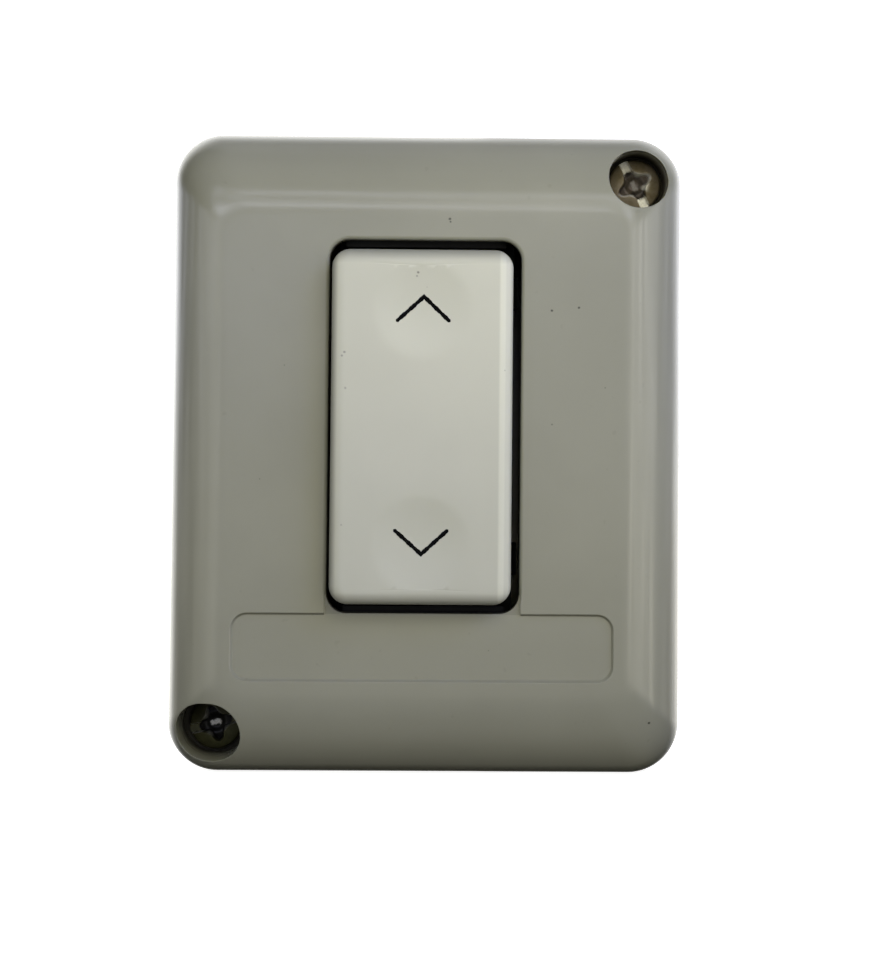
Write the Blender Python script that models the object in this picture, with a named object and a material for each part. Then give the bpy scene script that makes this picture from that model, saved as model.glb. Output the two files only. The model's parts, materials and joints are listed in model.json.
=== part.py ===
"""Surface-mounted roller shutter switch: a grey wall box and domed cover round a one-module rocker switch.

Metres, +Z up. The wall is the plane y = 0 and the front looks along -Y. A depth is a distance in front of
the wall, so a point at depth d lies at y = -d. Heights on the switch module start from the middle of its key.
"""
import math

import bmesh
import bpy
from mathutils import Matrix

MM = 0.001

# Fits
CLEARANCE = 0.3 * MM
OVERCUT = 1.0 * MM
PIN_PLAY = 0.2 * MM
RIVET_GAP = 0.1 * MM

# Enclosure
COVER_WIDTH = 66.0 * MM
COVER_HEIGHT = 82.5 * MM
CORNER_RADIUS = 6.5 * MM
BOX_DEPTH = 36.0 * MM
COVER_RISE = 14.0 * MM
SKIRT_HEIGHT = 2.5 * MM
WALL = 2.0 * MM
LIP = 0.85 * MM
TONGUE_HEIGHT = 1.8 * MM
BACK_THICKNESS = 2.2 * MM
BACK_BEVEL = 1.0 * MM
BOX_DRAFT = 0.3 * MM
SIDE_ROLL = 8.2 * MM
END_ROLL = 11.5 * MM
FACE_CORNER_RADIUS = 3.0 * MM
LEAST_RADIUS = 0.6 * MM

# Cover screws, in deep wells at the upper right and lower left corners
WELL_INSET = 6.1 * MM
WELL_RADIUS = 3.9 * MM
WELL_STRETCH = {"upper": 0.0, "lower": 0.35 * MM}
WELL_WALL = 1.5 * MM
WELL_FLOOR = 1.7 * MM
POST_RADIUS = 5.0 * MM
SCREW_SHANK_RADIUS = 1.4 * MM
SCREW_LENGTH = 23.0 * MM
SCREW_POINT = 1.5 * MM
SCREW_HEAD_RADIUS = 3.4 * MM
SCREW_HEAD_HEIGHT = 2.4 * MM
SCREW_CROWN = 0.9 * MM
SCREW_SLOT_WIDTH = 1.1 * MM
SCREW_SLOT_DEPTH = 1.0 * MM
SCREW_CROSS_SPAN = 4.2 * MM
SCREW_CROSS_WIDTH = 0.9 * MM
SCREW_CROSS_DEPTH = 1.7 * MM
SLOT_ANGLE_UPPER = math.radians(-63)
SLOT_ANGLE_LOWER = math.radians(15)

# Label recess under the key
LABEL_HEIGHT = 8.4 * MM
LABEL_DEPTH = 0.5 * MM
LABEL_RADIUS = 2.0 * MM
LABEL_MARGIN = 1.0 * MM

# Wall fixings and cable entries of the box
FIXING_X = 20.0 * MM
FIXING_Z = 29.0 * MM
FIXING_SLOT_WIDTH = 4.6 * MM
FIXING_SLOT_LENGTH = 9.0 * MM
FIXING_BOSS_MARGIN = 2.2 * MM
FIXING_BOSS_HEIGHT = 1.4 * MM
ENTRY_RADII = (10.3 * MM, 8.2 * MM)
ENTRY_SCORE_WIDTH = 0.7 * MM
ENTRY_SCORE_DEPTH = 1.2 * MM
BACK_ENTRY_DROP = 24.0 * MM

# Rocker key
KEY_WIDTH = 22.4 * MM
KEY_HEIGHT = 43.8 * MM
KEY_RADIUS = 2.3 * MM
KEY_PROUD = 4.0 * MM
KEY_SKIRT = 7.5 * MM
KEY_WALL = 1.3 * MM
KEY_FACE_THICKNESS = 1.7 * MM
KEY_EDGE = 1.2 * MM
KEY_RISE = 3.5 * MM
KEY_OFFSET = -0.25 * MM
KEY_LEG_WIDTH = 8.0 * MM
KEY_LEG_THICKNESS = 1.3 * MM
DISH_RADIUS = 6.4 * MM
DISH_DEPTH = 0.4 * MM
DISH_FROM_MIDDLE = 14.1 * MM

# Opening of the cover round the key
OPENING_GAP_SIDE = 0.85 * MM
OPENING_GAP_END = 1.45 * MM
OPENING_RADIUS = 2.5 * MM
OPENING_CHAMFER = 0.3 * MM
RAIL_THICKNESS = 1.5 * MM
RAIL_DEPTH = 8.0 * MM
RAIL_LENGTH = 40.0 * MM
PAD_LENGTH = 4.0 * MM
PAD_FROM_RAIL_END = 1.0 * MM
TOWER_THICKNESS = 1.8 * MM
TOWER_WIDTH = 12.0 * MM
TOWER_DEPTH = 14.5 * MM
CATCH_WIDTH = 6.4 * MM
CATCH_HEIGHT = 2.8 * MM
CATCH_LAND = 0.9 * MM
CATCH_REACH = 1.0 * MM
CATCH_SUNK = 12.0 * MM

# Switch module
MODULE_SIDE_GAP = 0.1 * MM
MODULE_OVERLAP = 0.65 * MM
MODULE_LENGTH = 36.0 * MM
MODULE_WALL = 2.1 * MM
MODULE_END_WALL = 1.4 * MM
MODULE_FLOOR = 1.6 * MM
MODULE_RADIUS = 1.0 * MM
FRAME_HEIGHT = 7.6 * MM
FRAME_PLATE = 1.9 * MM
END_WALL_SUNK = 2.3 * MM
PIVOT_SUNK = 4.0 * MM
PIVOT_TO_PLATE = 2.1 * MM
TRUNNION_RADIUS = 1.3 * MM
EAR_THICKNESS = 1.4 * MM
EAR_GAP = 0.55 * MM
EAR_WIDTH = 6.8 * MM
EAR_ABOVE_PIVOT = 2.4 * MM
SNAP_SLOT_WIDTH = 2.2 * MM
APERTURE_WIDTH = 10.4 * MM
APERTURE_HEIGHT = 14.0 * MM
LEG_FROM_MIDDLE = 12.5 * MM
LEG_WIDTH = 5.0 * MM
LEG_THICKNESS = 0.9 * MM
LEG_LENGTH = 6.7 * MM
BARB_WIDTH = 3.2 * MM
BARB_HEIGHT = 2.0 * MM
BARB_ABOVE_LEG_END = 1.7 * MM

# Rocker carrier with its sprung plunger
CARRIER_HEIGHT = 28.0 * MM
CARRIER_PLATE = 1.8 * MM
CARRIER_ABOVE_PIVOT = 3.0 * MM
CHEEK_THICKNESS = 1.6 * MM
CHEEK_WIDTH = 4.8 * MM
CHEEK_BELOW_PIVOT = 1.4 * MM
POCKET_RADIUS = 2.3 * MM
POCKET_WALL = 1.0 * MM
POCKET_BELOW_PIVOT = 9.4 * MM
POCKET_END_ABOVE_PIVOT = 1.3 * MM
PLUNGER_TIP_RADIUS = 1.5 * MM
PLUNGER_SHOULDER_BELOW_PIVOT = 5.4 * MM
SPIGOT_RADIUS = 0.95 * MM
SPIGOT_LENGTH = 1.4 * MM
SPRING_RADIUS = 1.6 * MM
SPRING_WIRE_RADIUS = 0.22 * MM
SPRING_TURNS = 5

# Contact seesaw, terminals and clamps
BLADE_WIDTH = 6.0 * MM
BLADE_THICKNESS = 0.8 * MM
BLADE_REACH = 11.5 * MM
SADDLE_REACH = 4.0 * MM
SADDLE_DROP = 0.7 * MM
SADDLE_BELOW_PIVOT = 14.75 * MM
CONTACT_FROM_MIDDLE = 9.5 * MM
CONTACT_RADIUS = 1.6 * MM
CONTACT_THICKNESS = 0.6 * MM
CONTACT_TRAVEL = 1.05 * MM
STRIP_WIDTH = 8.8 * MM
STRIP_THICKNESS = 1.0 * MM
HORN_HEIGHT = 2.15 * MM
TERMINAL_PITCH = 15.2 * MM
FOOT_OVERHANG = 4.2 * MM
RISER_FROM_SCREW = 3.6 * MM
COMMON_RISER_FROM_MIDDLE = 3.4 * MM
COMMON_BRIDGE_BELOW_TIP = 4.6 * MM
SHELF_INNER_END = 7.2 * MM
CLAMP_PLATE_SIDE = 5.6 * MM
CLAMP_PLATE_THICKNESS = 1.0 * MM
CLAMP_SCREW_HEAD_RADIUS = 2.6 * MM
CLAMP_SCREW_HEAD_HEIGHT = 1.8 * MM
CLAMP_SCREW_LENGTH = 6.3 * MM
DRIVER_HOLE_RADIUS = 2.1 * MM
WIRE_WINDOW_WIDTH = 5.2 * MM
WIRE_WINDOW_HEIGHT = 3.4 * MM
PARTITION_FROM_MIDDLE = 7.5 * MM
PARTITION_THICKNESS = 1.2 * MM

# Facets
CORNER_STEPS = 6
ROLL_STEPS = 8
ROUND_STEPS = 28
SMALL_ROUND_STEPS = 20
MODULE_CORNER_STEPS = 3
EDGE_STEPS = 4
DOME_STEPS = 5
SPRING_STEPS = 12
SMOOTH_ANGLE = math.radians(35)
WELD = 0.0001 * MM

# Places worked out from the sizes above
HALF_WIDTH = COVER_WIDTH / 2
HALF_HEIGHT = COVER_HEIGHT / 2
FACE = BOX_DEPTH + COVER_RISE
SHOULDER = BOX_DEPTH - CLEARANCE
WELL_X = HALF_WIDTH - WELL_INSET
WELL_Z = HALF_HEIGHT - WELL_INSET
WELLS = {"upper": (WELL_X, WELL_Z), "lower": (-WELL_X, -WELL_Z)}
SIDES = {"upper": 1, "lower": -1}
SCREW_SEAT = BOX_DEPTH + WELL_FLOOR + CLEARANCE
OPENING_HALF_WIDTH = KEY_WIDTH / 2 + OPENING_GAP_SIDE
OPENING_HALF_HEIGHT = KEY_HEIGHT / 2 + OPENING_GAP_END
MODULE_WIDTH = KEY_WIDTH - 2 * MODULE_SIDE_GAP
MODULE_HEIGHT = 2 * (OPENING_HALF_HEIGHT + MODULE_OVERLAP)
EAR_OUTSIDE = KEY_WIDTH / 2 - KEY_WALL - EAR_GAP
EAR_INSIDE = EAR_OUTSIDE - EAR_THICKNESS
CARRIER_WIDTH = 2 * (EAR_INSIDE - CLEARANCE)
PIVOT = FACE - PIVOT_SUNK
KEY_FACE = FACE + KEY_PROUD
KEY_CEILING = KEY_FACE - KEY_FACE_THICKNESS
PLATE_TOP = PIVOT - PIVOT_TO_PLATE
MODULE_BACK = FACE - MODULE_LENGTH
FRAME_BACK = PLATE_TOP - FRAME_HEIGHT
BASE_FRONT = FRAME_BACK - CLEARANCE
FLOOR_TOP = MODULE_BACK + MODULE_FLOOR
SADDLE = PIVOT - SADDLE_BELOW_PIVOT
BLADE_BACK = SADDLE - BLADE_THICKNESS
ARM_BACK = BLADE_BACK + SADDLE_DROP
MOVING_CONTACT_BACK = ARM_BACK - RIVET_GAP - CONTACT_THICKNESS
FIXED_CONTACT_BACK = MOVING_CONTACT_BACK - CONTACT_TRAVEL - CONTACT_THICKNESS
SHELF_FRONT = FIXED_CONTACT_BACK - RIVET_GAP
SHELF_BACK = SHELF_FRONT - STRIP_THICKNESS
FULCRUM_TIP = BLADE_BACK - CLEARANCE
FULCRUM = FULCRUM_TIP + CLEARANCE / 2
CLAMP_HEAD_BACK = FLOOR_TOP + CLEARANCE
CLAMP_PLATE_BACK = CLAMP_HEAD_BACK + CLAMP_SCREW_HEAD_HEIGHT + CLEARANCE
FOOT_BACK = CLAMP_PLATE_BACK + CLAMP_PLATE_THICKNESS + CLEARANCE
LEDGE_TOP = FOOT_BACK - CLEARANCE


def material(name, colour, roughness, metallic=0.0):
    """A Principled material of one colour."""
    made = bpy.data.materials.new(name)
    made.use_nodes = True
    shader = made.node_tree.nodes["Principled BSDF"]
    shader.inputs["Base Color"].default_value = (*colour, 1.0)
    shader.inputs["Roughness"].default_value = roughness
    shader.inputs["Metallic"].default_value = metallic
    return made


def object_of(name, mesh_builder):
    """A scene object from a bmesh, with every face pointing out."""
    bmesh.ops.recalc_face_normals(mesh_builder, faces=mesh_builder.faces)
    mesh = bpy.data.meshes.new(name)
    mesh_builder.to_mesh(mesh)
    mesh_builder.free()
    made = bpy.data.objects.new(name, mesh)
    bpy.context.scene.collection.objects.link(made)
    return made


def rounded_rectangle(half_width, half_height, radius, centre=(0.0, 0.0), steps=CORNER_STEPS):
    """Points (x, z) round a rectangle whose corners are arcs."""
    points = []
    for corner, (side_x, side_z) in enumerate(((1, 1), (-1, 1), (-1, -1), (1, -1))):
        for step in range(steps + 1):
            angle = math.pi / 2 * (corner + step / steps)
            points.append(
                (
                    centre[0] + side_x * (half_width - radius) + radius * math.cos(angle),
                    centre[1] + side_z * (half_height - radius) + radius * math.sin(angle),
                )
            )
    return points


def rectangle(x_range, z_range):
    (left, right), (low, high) = x_range, z_range
    return [(left, low), (right, low), (right, high), (left, high)]


def loft(name, sections):
    """A solid through sections of (outline, depth), capped at both ends."""
    bm = bmesh.new()
    rings = [[bm.verts.new((x, -depth, z)) for x, z in outline] for outline, depth in sections]
    for first, second in zip(rings, rings[1:]):
        for here in range(len(first)):
            after = (here + 1) % len(first)
            bm.faces.new((first[here], first[after], second[after], second[here]))
    bm.faces.new(rings[0])
    bm.faces.new(rings[-1])
    return object_of(name, bm)


def swept(name, corners, run):
    """A flat outline of points in space, swept along a vector."""
    bm = bmesh.new()
    face = bm.faces.new([bm.verts.new(corner) for corner in corners])
    made = bmesh.ops.extrude_face_region(bm, geom=[face])["geom"]
    bmesh.ops.translate(bm, verts=[item for item in made if isinstance(item, bmesh.types.BMVert)], vec=run)
    return object_of(name, bm)


def prism(name, outline, back, front):
    """An outline in the XZ plane, extruded from one depth to another."""
    return swept(name, [(x, -back, z) for x, z in outline], (0.0, back - front, 0.0))


def block(name, x_range, depth_range, z_range):
    return prism(name, rectangle(x_range, z_range), *depth_range)


def turned(name, profile, centre=(0.0, 0.0), steps=ROUND_STEPS):
    """A profile of (radius, depth) spun about the depth axis through centre."""
    bm = bmesh.new()
    verts = [bm.verts.new((radius, -depth, 0.0)) for radius, depth in profile]
    edges = [bm.edges.new(pair) for pair in zip(verts, verts[1:])]
    bmesh.ops.spin(bm, geom=verts + edges, cent=(0, 0, 0), axis=(0, 1, 0), angle=math.tau, steps=steps)
    bmesh.ops.remove_doubles(bm, verts=bm.verts, dist=WELD)
    bmesh.ops.translate(bm, verts=bm.verts, vec=(centre[0], 0.0, centre[1]))
    return object_of(name, bm)


def disc(name, radius, back, front, centre=(0.0, 0.0), steps=ROUND_STEPS):
    return turned(name, [(0.0, back), (radius, back), (radius, front), (0.0, front)], centre, steps)


def ring(name, inner_radius, outer_radius, back, front, centre=(0.0, 0.0), steps=ROUND_STEPS):
    profile = [(inner_radius, back), (outer_radius, back), (outer_radius, front), (inner_radius, front)]
    return turned(name, profile + profile[:1], centre, steps)


def placed(shape, matrix):
    """Moves a shape's mesh by a matrix and gives the shape back."""
    shape.data.transform(matrix)
    return shape


def direction(start, end):
    run = math.hypot(end[0] - start[0], end[1] - start[1])
    return ((end[0] - start[0]) / run, (end[1] - start[1]) / run)


def folded_strip(name, path, width, thickness):
    """A flat strip bent along a path of (height, depth), as wide as width across X."""
    runs = [direction(*pair) for pair in zip(path, path[1:])]
    edges = ([], [])
    for (height, depth), into, out in zip(path, runs[:1] + runs, runs + runs[-1:]):
        mitre = (-(into[1] + out[1]), into[0] + out[0])
        reach = thickness / 2 / (mitre[1] * out[0] - mitre[0] * out[1])
        for edge, side in zip(edges, (1, -1)):
            edge.append((height + side * reach * mitre[0], depth + side * reach * mitre[1]))
    corners = [(-width / 2, -depth, height) for height, depth in edges[0] + edges[1][::-1]]
    return swept(name, corners, (width, 0.0, 0.0))


def combine(target, operation, tools):
    """Boolean modifiers on target, one for each tool. A tool isn't part of the object."""
    for tool in tools:
        tool.hide_render = True
        tool.display_type = "WIRE"
        modifier = target.modifiers.new(f"{operation} {tool.name}", "BOOLEAN")
        modifier.operation = operation
        modifier.solver = "EXACT"
        modifier.object = tool
    return target


def cut(target, *tools):
    return combine(target, "DIFFERENCE", tools)


def join(target, *tools):
    return combine(target, "UNION", tools)


def dress(piece, look, smooth=False):
    """Gives a piece its material and, on round pieces, smooth shading."""
    piece.data.materials.append(look)
    if smooth:
        piece.data.shade_smooth()
        piece.data.set_sharp_from_angle(angle=SMOOTH_ANGLE)
    return piece


def at_module(height):
    """World height of a point measured from the middle of the key."""
    return KEY_RISE + height


def module_range(low, high):
    return (at_module(low), at_module(high))


def mirrored(low, high):
    """A range and its mirror image."""
    return ((low, high), (-high, -low))


def housing_outline(inset):
    """The housing's outline seen from the front, a distance inside its sides."""
    return rounded_rectangle(HALF_WIDTH - inset, HALF_HEIGHT - inset, CORNER_RADIUS - inset)


def back_box(look):
    """Open-fronted wall box: tongue for the cover, screw posts, fixing slots and scored cable entries."""
    box = loft(
        "back_box",
        [
            (housing_outline(BOX_DRAFT + BACK_BEVEL), 0.0),
            (housing_outline(BOX_DRAFT), BACK_BEVEL),
            (housing_outline(0.0), SHOULDER),
        ],
    )
    tongue_end = BOX_DEPTH + TONGUE_HEIGHT - CLEARANCE
    tongue = prism("box tongue", housing_outline(LIP + CLEARANCE), SHOULDER - OVERCUT, tongue_end)
    cavity = prism("box cavity", housing_outline(WALL), BACK_THICKNESS, FACE)
    posts = [disc(f"post {name}", POST_RADIUS, 0.0, SHOULDER, well) for name, well in WELLS.items()]
    fixings = ((-FIXING_X, FIXING_Z), (FIXING_X, -FIXING_Z))
    boss_top = BACK_THICKNESS + FIXING_BOSS_HEIGHT
    bosses = [
        fixing_shape(f"fixing boss {x:.3f}", (x, z), FIXING_BOSS_MARGIN, 0.0, boss_top) for x, z in fixings
    ]
    cut(cavity, *posts, *bosses)
    join(box, tongue)
    cut(box, cavity)
    cut(box, *[
        well_shape(f"tongue break {name}", name, WELL_WALL + CLEARANCE, SHOULDER, FACE) for name in WELLS
    ])
    pilot = (SCREW_SHANK_RADIUS + CLEARANCE, SCREW_SEAT - SCREW_LENGTH - OVERCUT, FACE)
    cut(box, *[disc(f"pilot {name}", *pilot, well, SMALL_ROUND_STEPS) for name, well in WELLS.items()])
    cut(box, *[fixing_shape(f"fixing slot {x:.3f}", (x, z), 0.0, -OVERCUT, FACE) for x, z in fixings])
    for radius in ENTRY_RADII:
        score = (radius - ENTRY_SCORE_WIDTH, radius)
        cut(box, ring(f"back entry {radius:.4f}", *score, BACK_THICKNESS - ENTRY_SCORE_DEPTH,
                      BACK_THICKNESS + OVERCUT, (0.0, -BACK_ENTRY_DROP)))
        for side in (1, -1):
            upright = Matrix.Rotation(-side * math.pi / 2, 4, "X")
            place = Matrix.Translation((0.0, -BOX_DEPTH / 2, side * HALF_HEIGHT))
            groove = ring(f"entry {side} {radius:.4f}", *score, -ENTRY_SCORE_DEPTH, OVERCUT)
            cut(box, placed(groove, place @ upright))
    return dress(box, look)


def oblong(name, centre, radius, reach, back, front):
    """An oblong lying along X. Its round ends are centred reach away from its middle."""
    steps = ROUND_STEPS // 2
    outline = []
    for end in (1, -1):
        for step in range(steps + 1):
            angle = math.pi * step / steps - end * math.pi / 2
            outline.append((
                centre[0] + end * reach + radius * math.cos(angle),
                centre[1] + radius * math.sin(angle),
            ))
    return prism(name, outline, back, front)


def fixing_shape(name, centre, margin, back, front):
    """A wall screw's oblong hole, grown by margin on every side."""
    reach = (FIXING_SLOT_LENGTH - FIXING_SLOT_WIDTH) / 2
    return oblong(name, centre, FIXING_SLOT_WIDTH / 2 + margin, reach, back, front)


def well_shape(name, side, margin, back, front):
    """A cover screw's well, grown by margin on every side: round, or a little longer than high."""
    radius, stretch = WELL_RADIUS + margin, WELL_STRETCH[side]
    if stretch:
        return oblong(name, WELLS[side], radius, stretch, back, front)
    return disc(name, radius, back, front, WELLS[side])


def roll_points(wall):
    """The cover's rolled edge as (share of the roll, depth), a wall inside the outside."""
    points = []
    for step in range(ROLL_STEPS + 1):
        angle = math.pi / 2 * step / ROLL_STEPS
        depth = BOX_DEPTH + SKIRT_HEIGHT + (COVER_RISE - SKIRT_HEIGHT - wall) * math.sin(angle)
        points.append((1 - math.cos(angle), depth))
    return points


def dome_sections(wall):
    """Sections of the cover's rolled edge, from its skirt to its flat face."""
    sections = []
    for share, depth in roll_points(wall):
        half_width = HALF_WIDTH - SIDE_ROLL * share - wall
        half_height = HALF_HEIGHT - END_ROLL * share - wall
        radius = CORNER_RADIUS + (FACE_CORNER_RADIUS - CORNER_RADIUS) * share - wall
        sections.append((rounded_rectangle(half_width, half_height, max(radius, LEAST_RADIUS)), depth))
    return sections


def ceiling_at(z):
    """Depth of the cover's inner face at a height above or below the cover's middle."""
    points = [(HALF_HEIGHT - WALL - END_ROLL * share, depth) for share, depth in roll_points(WALL)]
    for (outer, low), (inner, high) in zip(points, points[1:]):
        if abs(z) > inner:
            return low + (high - low) * (outer - abs(z)) / (outer - inner)
    return FACE - WALL


def front_cover(look):
    """Domed cover: a shell with a lip over the tongue, screw wells, and rails and towers for the module."""
    lip_end = BOX_DEPTH + TONGUE_HEIGHT
    cover = loft("front_cover", [(housing_outline(0.0), BOX_DEPTH)] + dome_sections(0.0))
    core = loft(
        "cover core",
        [
            (housing_outline(LIP), BOX_DEPTH - OVERCUT),
            (housing_outline(LIP), lip_end),
            (housing_outline(WALL), lip_end),
        ]
        + dome_sections(WALL),
    )
    rail_depths = (FACE - WALL - RAIL_DEPTH, FACE)
    rail_heights = module_range(-RAIL_LENGTH / 2, RAIL_LENGTH / 2)
    rails = [
        block(f"rail {x_range[0]:.4f}", x_range, rail_depths, rail_heights)
        for x_range in mirrored(OPENING_HALF_WIDTH - CLEARANCE, OPENING_HALF_WIDTH + RAIL_THICKNESS)
    ]
    tubes = [well_shape(f"well tube {name}", name, WELL_WALL, BOX_DEPTH, FACE) for name in WELLS]
    cut(core, *rails, *tubes)
    cut(cover, core)
    tower_back = FACE - WALL - TOWER_DEPTH
    half_wall = WALL / 2
    under_face = loft(
        "under face", [(housing_outline(half_wall), tower_back - OVERCUT)] + dome_sections(half_wall)
    )
    tower_start = MODULE_HEIGHT / 2 + CLEARANCE
    for low, high in mirrored(tower_start, tower_start + TOWER_THICKNESS):
        tower = block(
            f"tower {low:.4f}",
            (-TOWER_WIDTH / 2, TOWER_WIDTH / 2),
            (tower_back, FACE),
            module_range(low, high),
        )
        window = block(
            f"tower window {low:.4f}",
            (-CATCH_WIDTH / 2 - CLEARANCE, CATCH_WIDTH / 2 + CLEARANCE),
            (FACE - CATCH_SUNK - CLEARANCE, FACE - CATCH_SUNK + CATCH_HEIGHT + CLEARANCE),
            module_range(low - OVERCUT, high + OVERCUT),
        )
        join(cover, combine(tower, "INTERSECT", [under_face]))
        cut(cover, window)
    cut(cover, opening_cutter(), label_cutter(), label_tab_cutter())
    for name, well in WELLS.items():
        shank_hole = (SCREW_SHANK_RADIUS + CLEARANCE, BOX_DEPTH - OVERCUT, KEY_FACE)
        cut(cover, well_shape(f"well bore {name}", name, 0.0, BOX_DEPTH + WELL_FLOOR, KEY_FACE))
        cut(cover, disc(f"shank hole {name}", *shank_hole, well, SMALL_ROUND_STEPS))
    return dress(cover, look, smooth=True)


def opening_cutter():
    """The opening round the key, with a small chamfer at the front edge."""

    def outline(growth):
        return rounded_rectangle(
            OPENING_HALF_WIDTH + growth,
            OPENING_HALF_HEIGHT + growth,
            OPENING_RADIUS + growth,
            (0.0, KEY_RISE),
        )

    return loft(
        "opening",
        [
            (outline(0.0), FACE - WALL - RAIL_DEPTH - OVERCUT),
            (outline(0.0), FACE - OPENING_CHAMFER),
            (outline(OPENING_CHAMFER), FACE),
            (outline(OPENING_CHAMFER), FACE + OVERCUT),
        ],
    )


def label_cutter():
    """The shallow recess for a label, just under the opening."""
    half_width = HALF_WIDTH - SIDE_ROLL - LABEL_MARGIN
    middle = (0.0, at_module(-OPENING_HALF_HEIGHT - LABEL_HEIGHT / 2))
    outline = rounded_rectangle(half_width, LABEL_HEIGHT / 2, LABEL_RADIUS, middle)
    return prism("label recess", outline, FACE - LABEL_DEPTH, FACE + OVERCUT)


def label_tab_cutter():
    """The recess also runs up behind the opening's lower corners."""
    half_width = OPENING_HALF_WIDTH + OPENING_CHAMFER / 2
    heights = module_range(-OPENING_HALF_HEIGHT - OVERCUT, -OPENING_HALF_HEIGHT + OPENING_RADIUS)
    return block("label tab", (-half_width, half_width), (FACE - LABEL_DEPTH, FACE + OVERCUT), heights)


def driver_recess(name, outline, front, deep, centre, angle):
    """A driver's recess through centre, turned by angle in the front plane."""
    turn = Matrix.Translation((centre[0], 0.0, centre[1])) @ Matrix.Rotation(-angle, 4, "Y")
    return placed(prism(name, outline, front - deep, front + OVERCUT), turn)


def cross_outline(span, width):
    """Points round a plus sign."""
    far, near = span / 2, width / 2
    quarter = [(far, near), (near, near), (near, far)]
    points = []
    for turn in range(4):
        cosine, sine = round(math.cos(turn * math.pi / 2)), round(math.sin(turn * math.pi / 2))
        points += [(x * cosine - z * sine, x * sine + z * cosine) for x, z in quarter]
    return points


def cover_screw(name, centre, angle, look):
    """Pan-head screw with a slot across the whole head and a cross recess, its thread left plain."""
    tip = SCREW_SEAT - SCREW_LENGTH
    profile = [(0.0, tip), (SCREW_SHANK_RADIUS, tip + SCREW_POINT)]
    profile += [(SCREW_SHANK_RADIUS, SCREW_SEAT), (SCREW_HEAD_RADIUS, SCREW_SEAT)]
    head_top = SCREW_SEAT + SCREW_HEAD_HEIGHT
    for step in range(DOME_STEPS):
        turn = math.pi / 2 * step / DOME_STEPS
        profile.append((SCREW_HEAD_RADIUS * math.cos(turn), head_top - SCREW_CROWN * (1 - math.sin(turn))))
    profile.append((0.0, head_top))
    screw = turned(name, profile, centre, SMALL_ROUND_STEPS)
    reach, half_slot = SCREW_HEAD_RADIUS + OVERCUT, SCREW_SLOT_WIDTH / 2
    slot = rectangle((-reach, reach), (-half_slot, half_slot))
    cross = cross_outline(SCREW_CROSS_SPAN, SCREW_CROSS_WIDTH)
    cut(
        screw,
        driver_recess(f"{name} slot", slot, head_top, SCREW_SLOT_DEPTH, centre, angle),
        driver_recess(f"{name} cross", cross, head_top, SCREW_CROSS_DEPTH, centre, angle),
    )
    return dress(screw, look, smooth=True)


def rocker_key(look):
    """White key: a hollow cap with rounded edges, two finger dishes and legs that grip the carrier."""
    half_width = KEY_WIDTH / 2
    half_height = KEY_HEIGHT / 2
    middle = (KEY_OFFSET, KEY_RISE)

    def outline(inset):
        return rounded_rectangle(half_width - inset, half_height - inset, KEY_RADIUS - inset, middle)

    sections = [(outline(0.0), KEY_FACE - KEY_SKIRT)]
    for step in range(EDGE_STEPS + 1):
        turn = math.pi / 2 * step / EDGE_STEPS
        inset, fall = KEY_EDGE * (1 - math.cos(turn)), KEY_EDGE * (1 - math.sin(turn))
        sections.append((outline(inset), KEY_FACE - fall))
    key = loft("rocker_key", sections)
    hollow = prism(
        "key hollow",
        rounded_rectangle(half_width - KEY_WALL, half_height - KEY_WALL, KEY_RADIUS - KEY_WALL, middle),
        KEY_FACE - KEY_SKIRT - OVERCUT,
        KEY_CEILING,
    )
    cut(key, hollow)
    leg_start = CARRIER_HEIGHT / 2 + CLEARANCE
    carrier_back = PIVOT + CARRIER_ABOVE_PIVOT
    for low, high in mirrored(leg_start, leg_start + KEY_LEG_THICKNESS):
        outward = 1 if low > 0 else -1
        hook_end = (low, high)[low < 0] - outward * KEY_LEG_THICKNESS
        hook = sorted((hook_end, (low, high)[low < 0] + outward * KEY_LEG_THICKNESS / 2))
        leg_x = (-KEY_LEG_WIDTH / 2, KEY_LEG_WIDTH / 2)
        hook_back = carrier_back - CARRIER_PLATE
        join(
            key,
            block(f"key leg {low:.4f}", leg_x, (hook_back, KEY_CEILING + OVERCUT), module_range(low, high)),
            block(f"key hook {low:.4f}", leg_x, (hook_back, carrier_back - CLEARANCE), module_range(*hook)),
        )
    for low, high in mirrored(CARRIER_HEIGHT / 2 - 2 * KEY_WALL, CARRIER_HEIGHT / 2 - KEY_WALL):
        join(
            key,
            block(
                f"key rib {low:.4f}",
                (-CARRIER_WIDTH / 2, CARRIER_WIDTH / 2),
                (carrier_back + CARRIER_PLATE + CLEARANCE, KEY_CEILING + OVERCUT / 2),
                module_range(low, high),
            ),
        )
    cut(key, *[dish_cutter(f"dish {side}", side * DISH_FROM_MIDDLE) for side in (1, -1)])
    return dress(key, look, smooth=True)


def dish_cutter(name, height):
    """A shallow dished hollow in the key's face: a parabola spun about its middle."""
    profile = [(0.0, KEY_FACE - DISH_DEPTH)]
    for step in range(1, DOME_STEPS + 2):
        share = step / DOME_STEPS
        profile.append((DISH_RADIUS * share, KEY_FACE - DISH_DEPTH * (1 - share**2)))
    profile += [(profile[-1][0], KEY_FACE + OVERCUT), (0.0, KEY_FACE + OVERCUT)]
    return turned(name, profile, (KEY_OFFSET, at_module(height)))


def lying_pin(name, radius, x_range, depth, height, steps=SMALL_ROUND_STEPS):
    """A round bar along X, at a depth and a height on the module."""
    bar = disc(name, radius, 0.0, x_range[1] - x_range[0], (0.0, 0.0), steps)
    lay = Matrix.Rotation(math.pi / 2, 4, "Z")
    place = Matrix.Translation((x_range[0], -depth, at_module(height)))
    return placed(bar, place @ lay)


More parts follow.
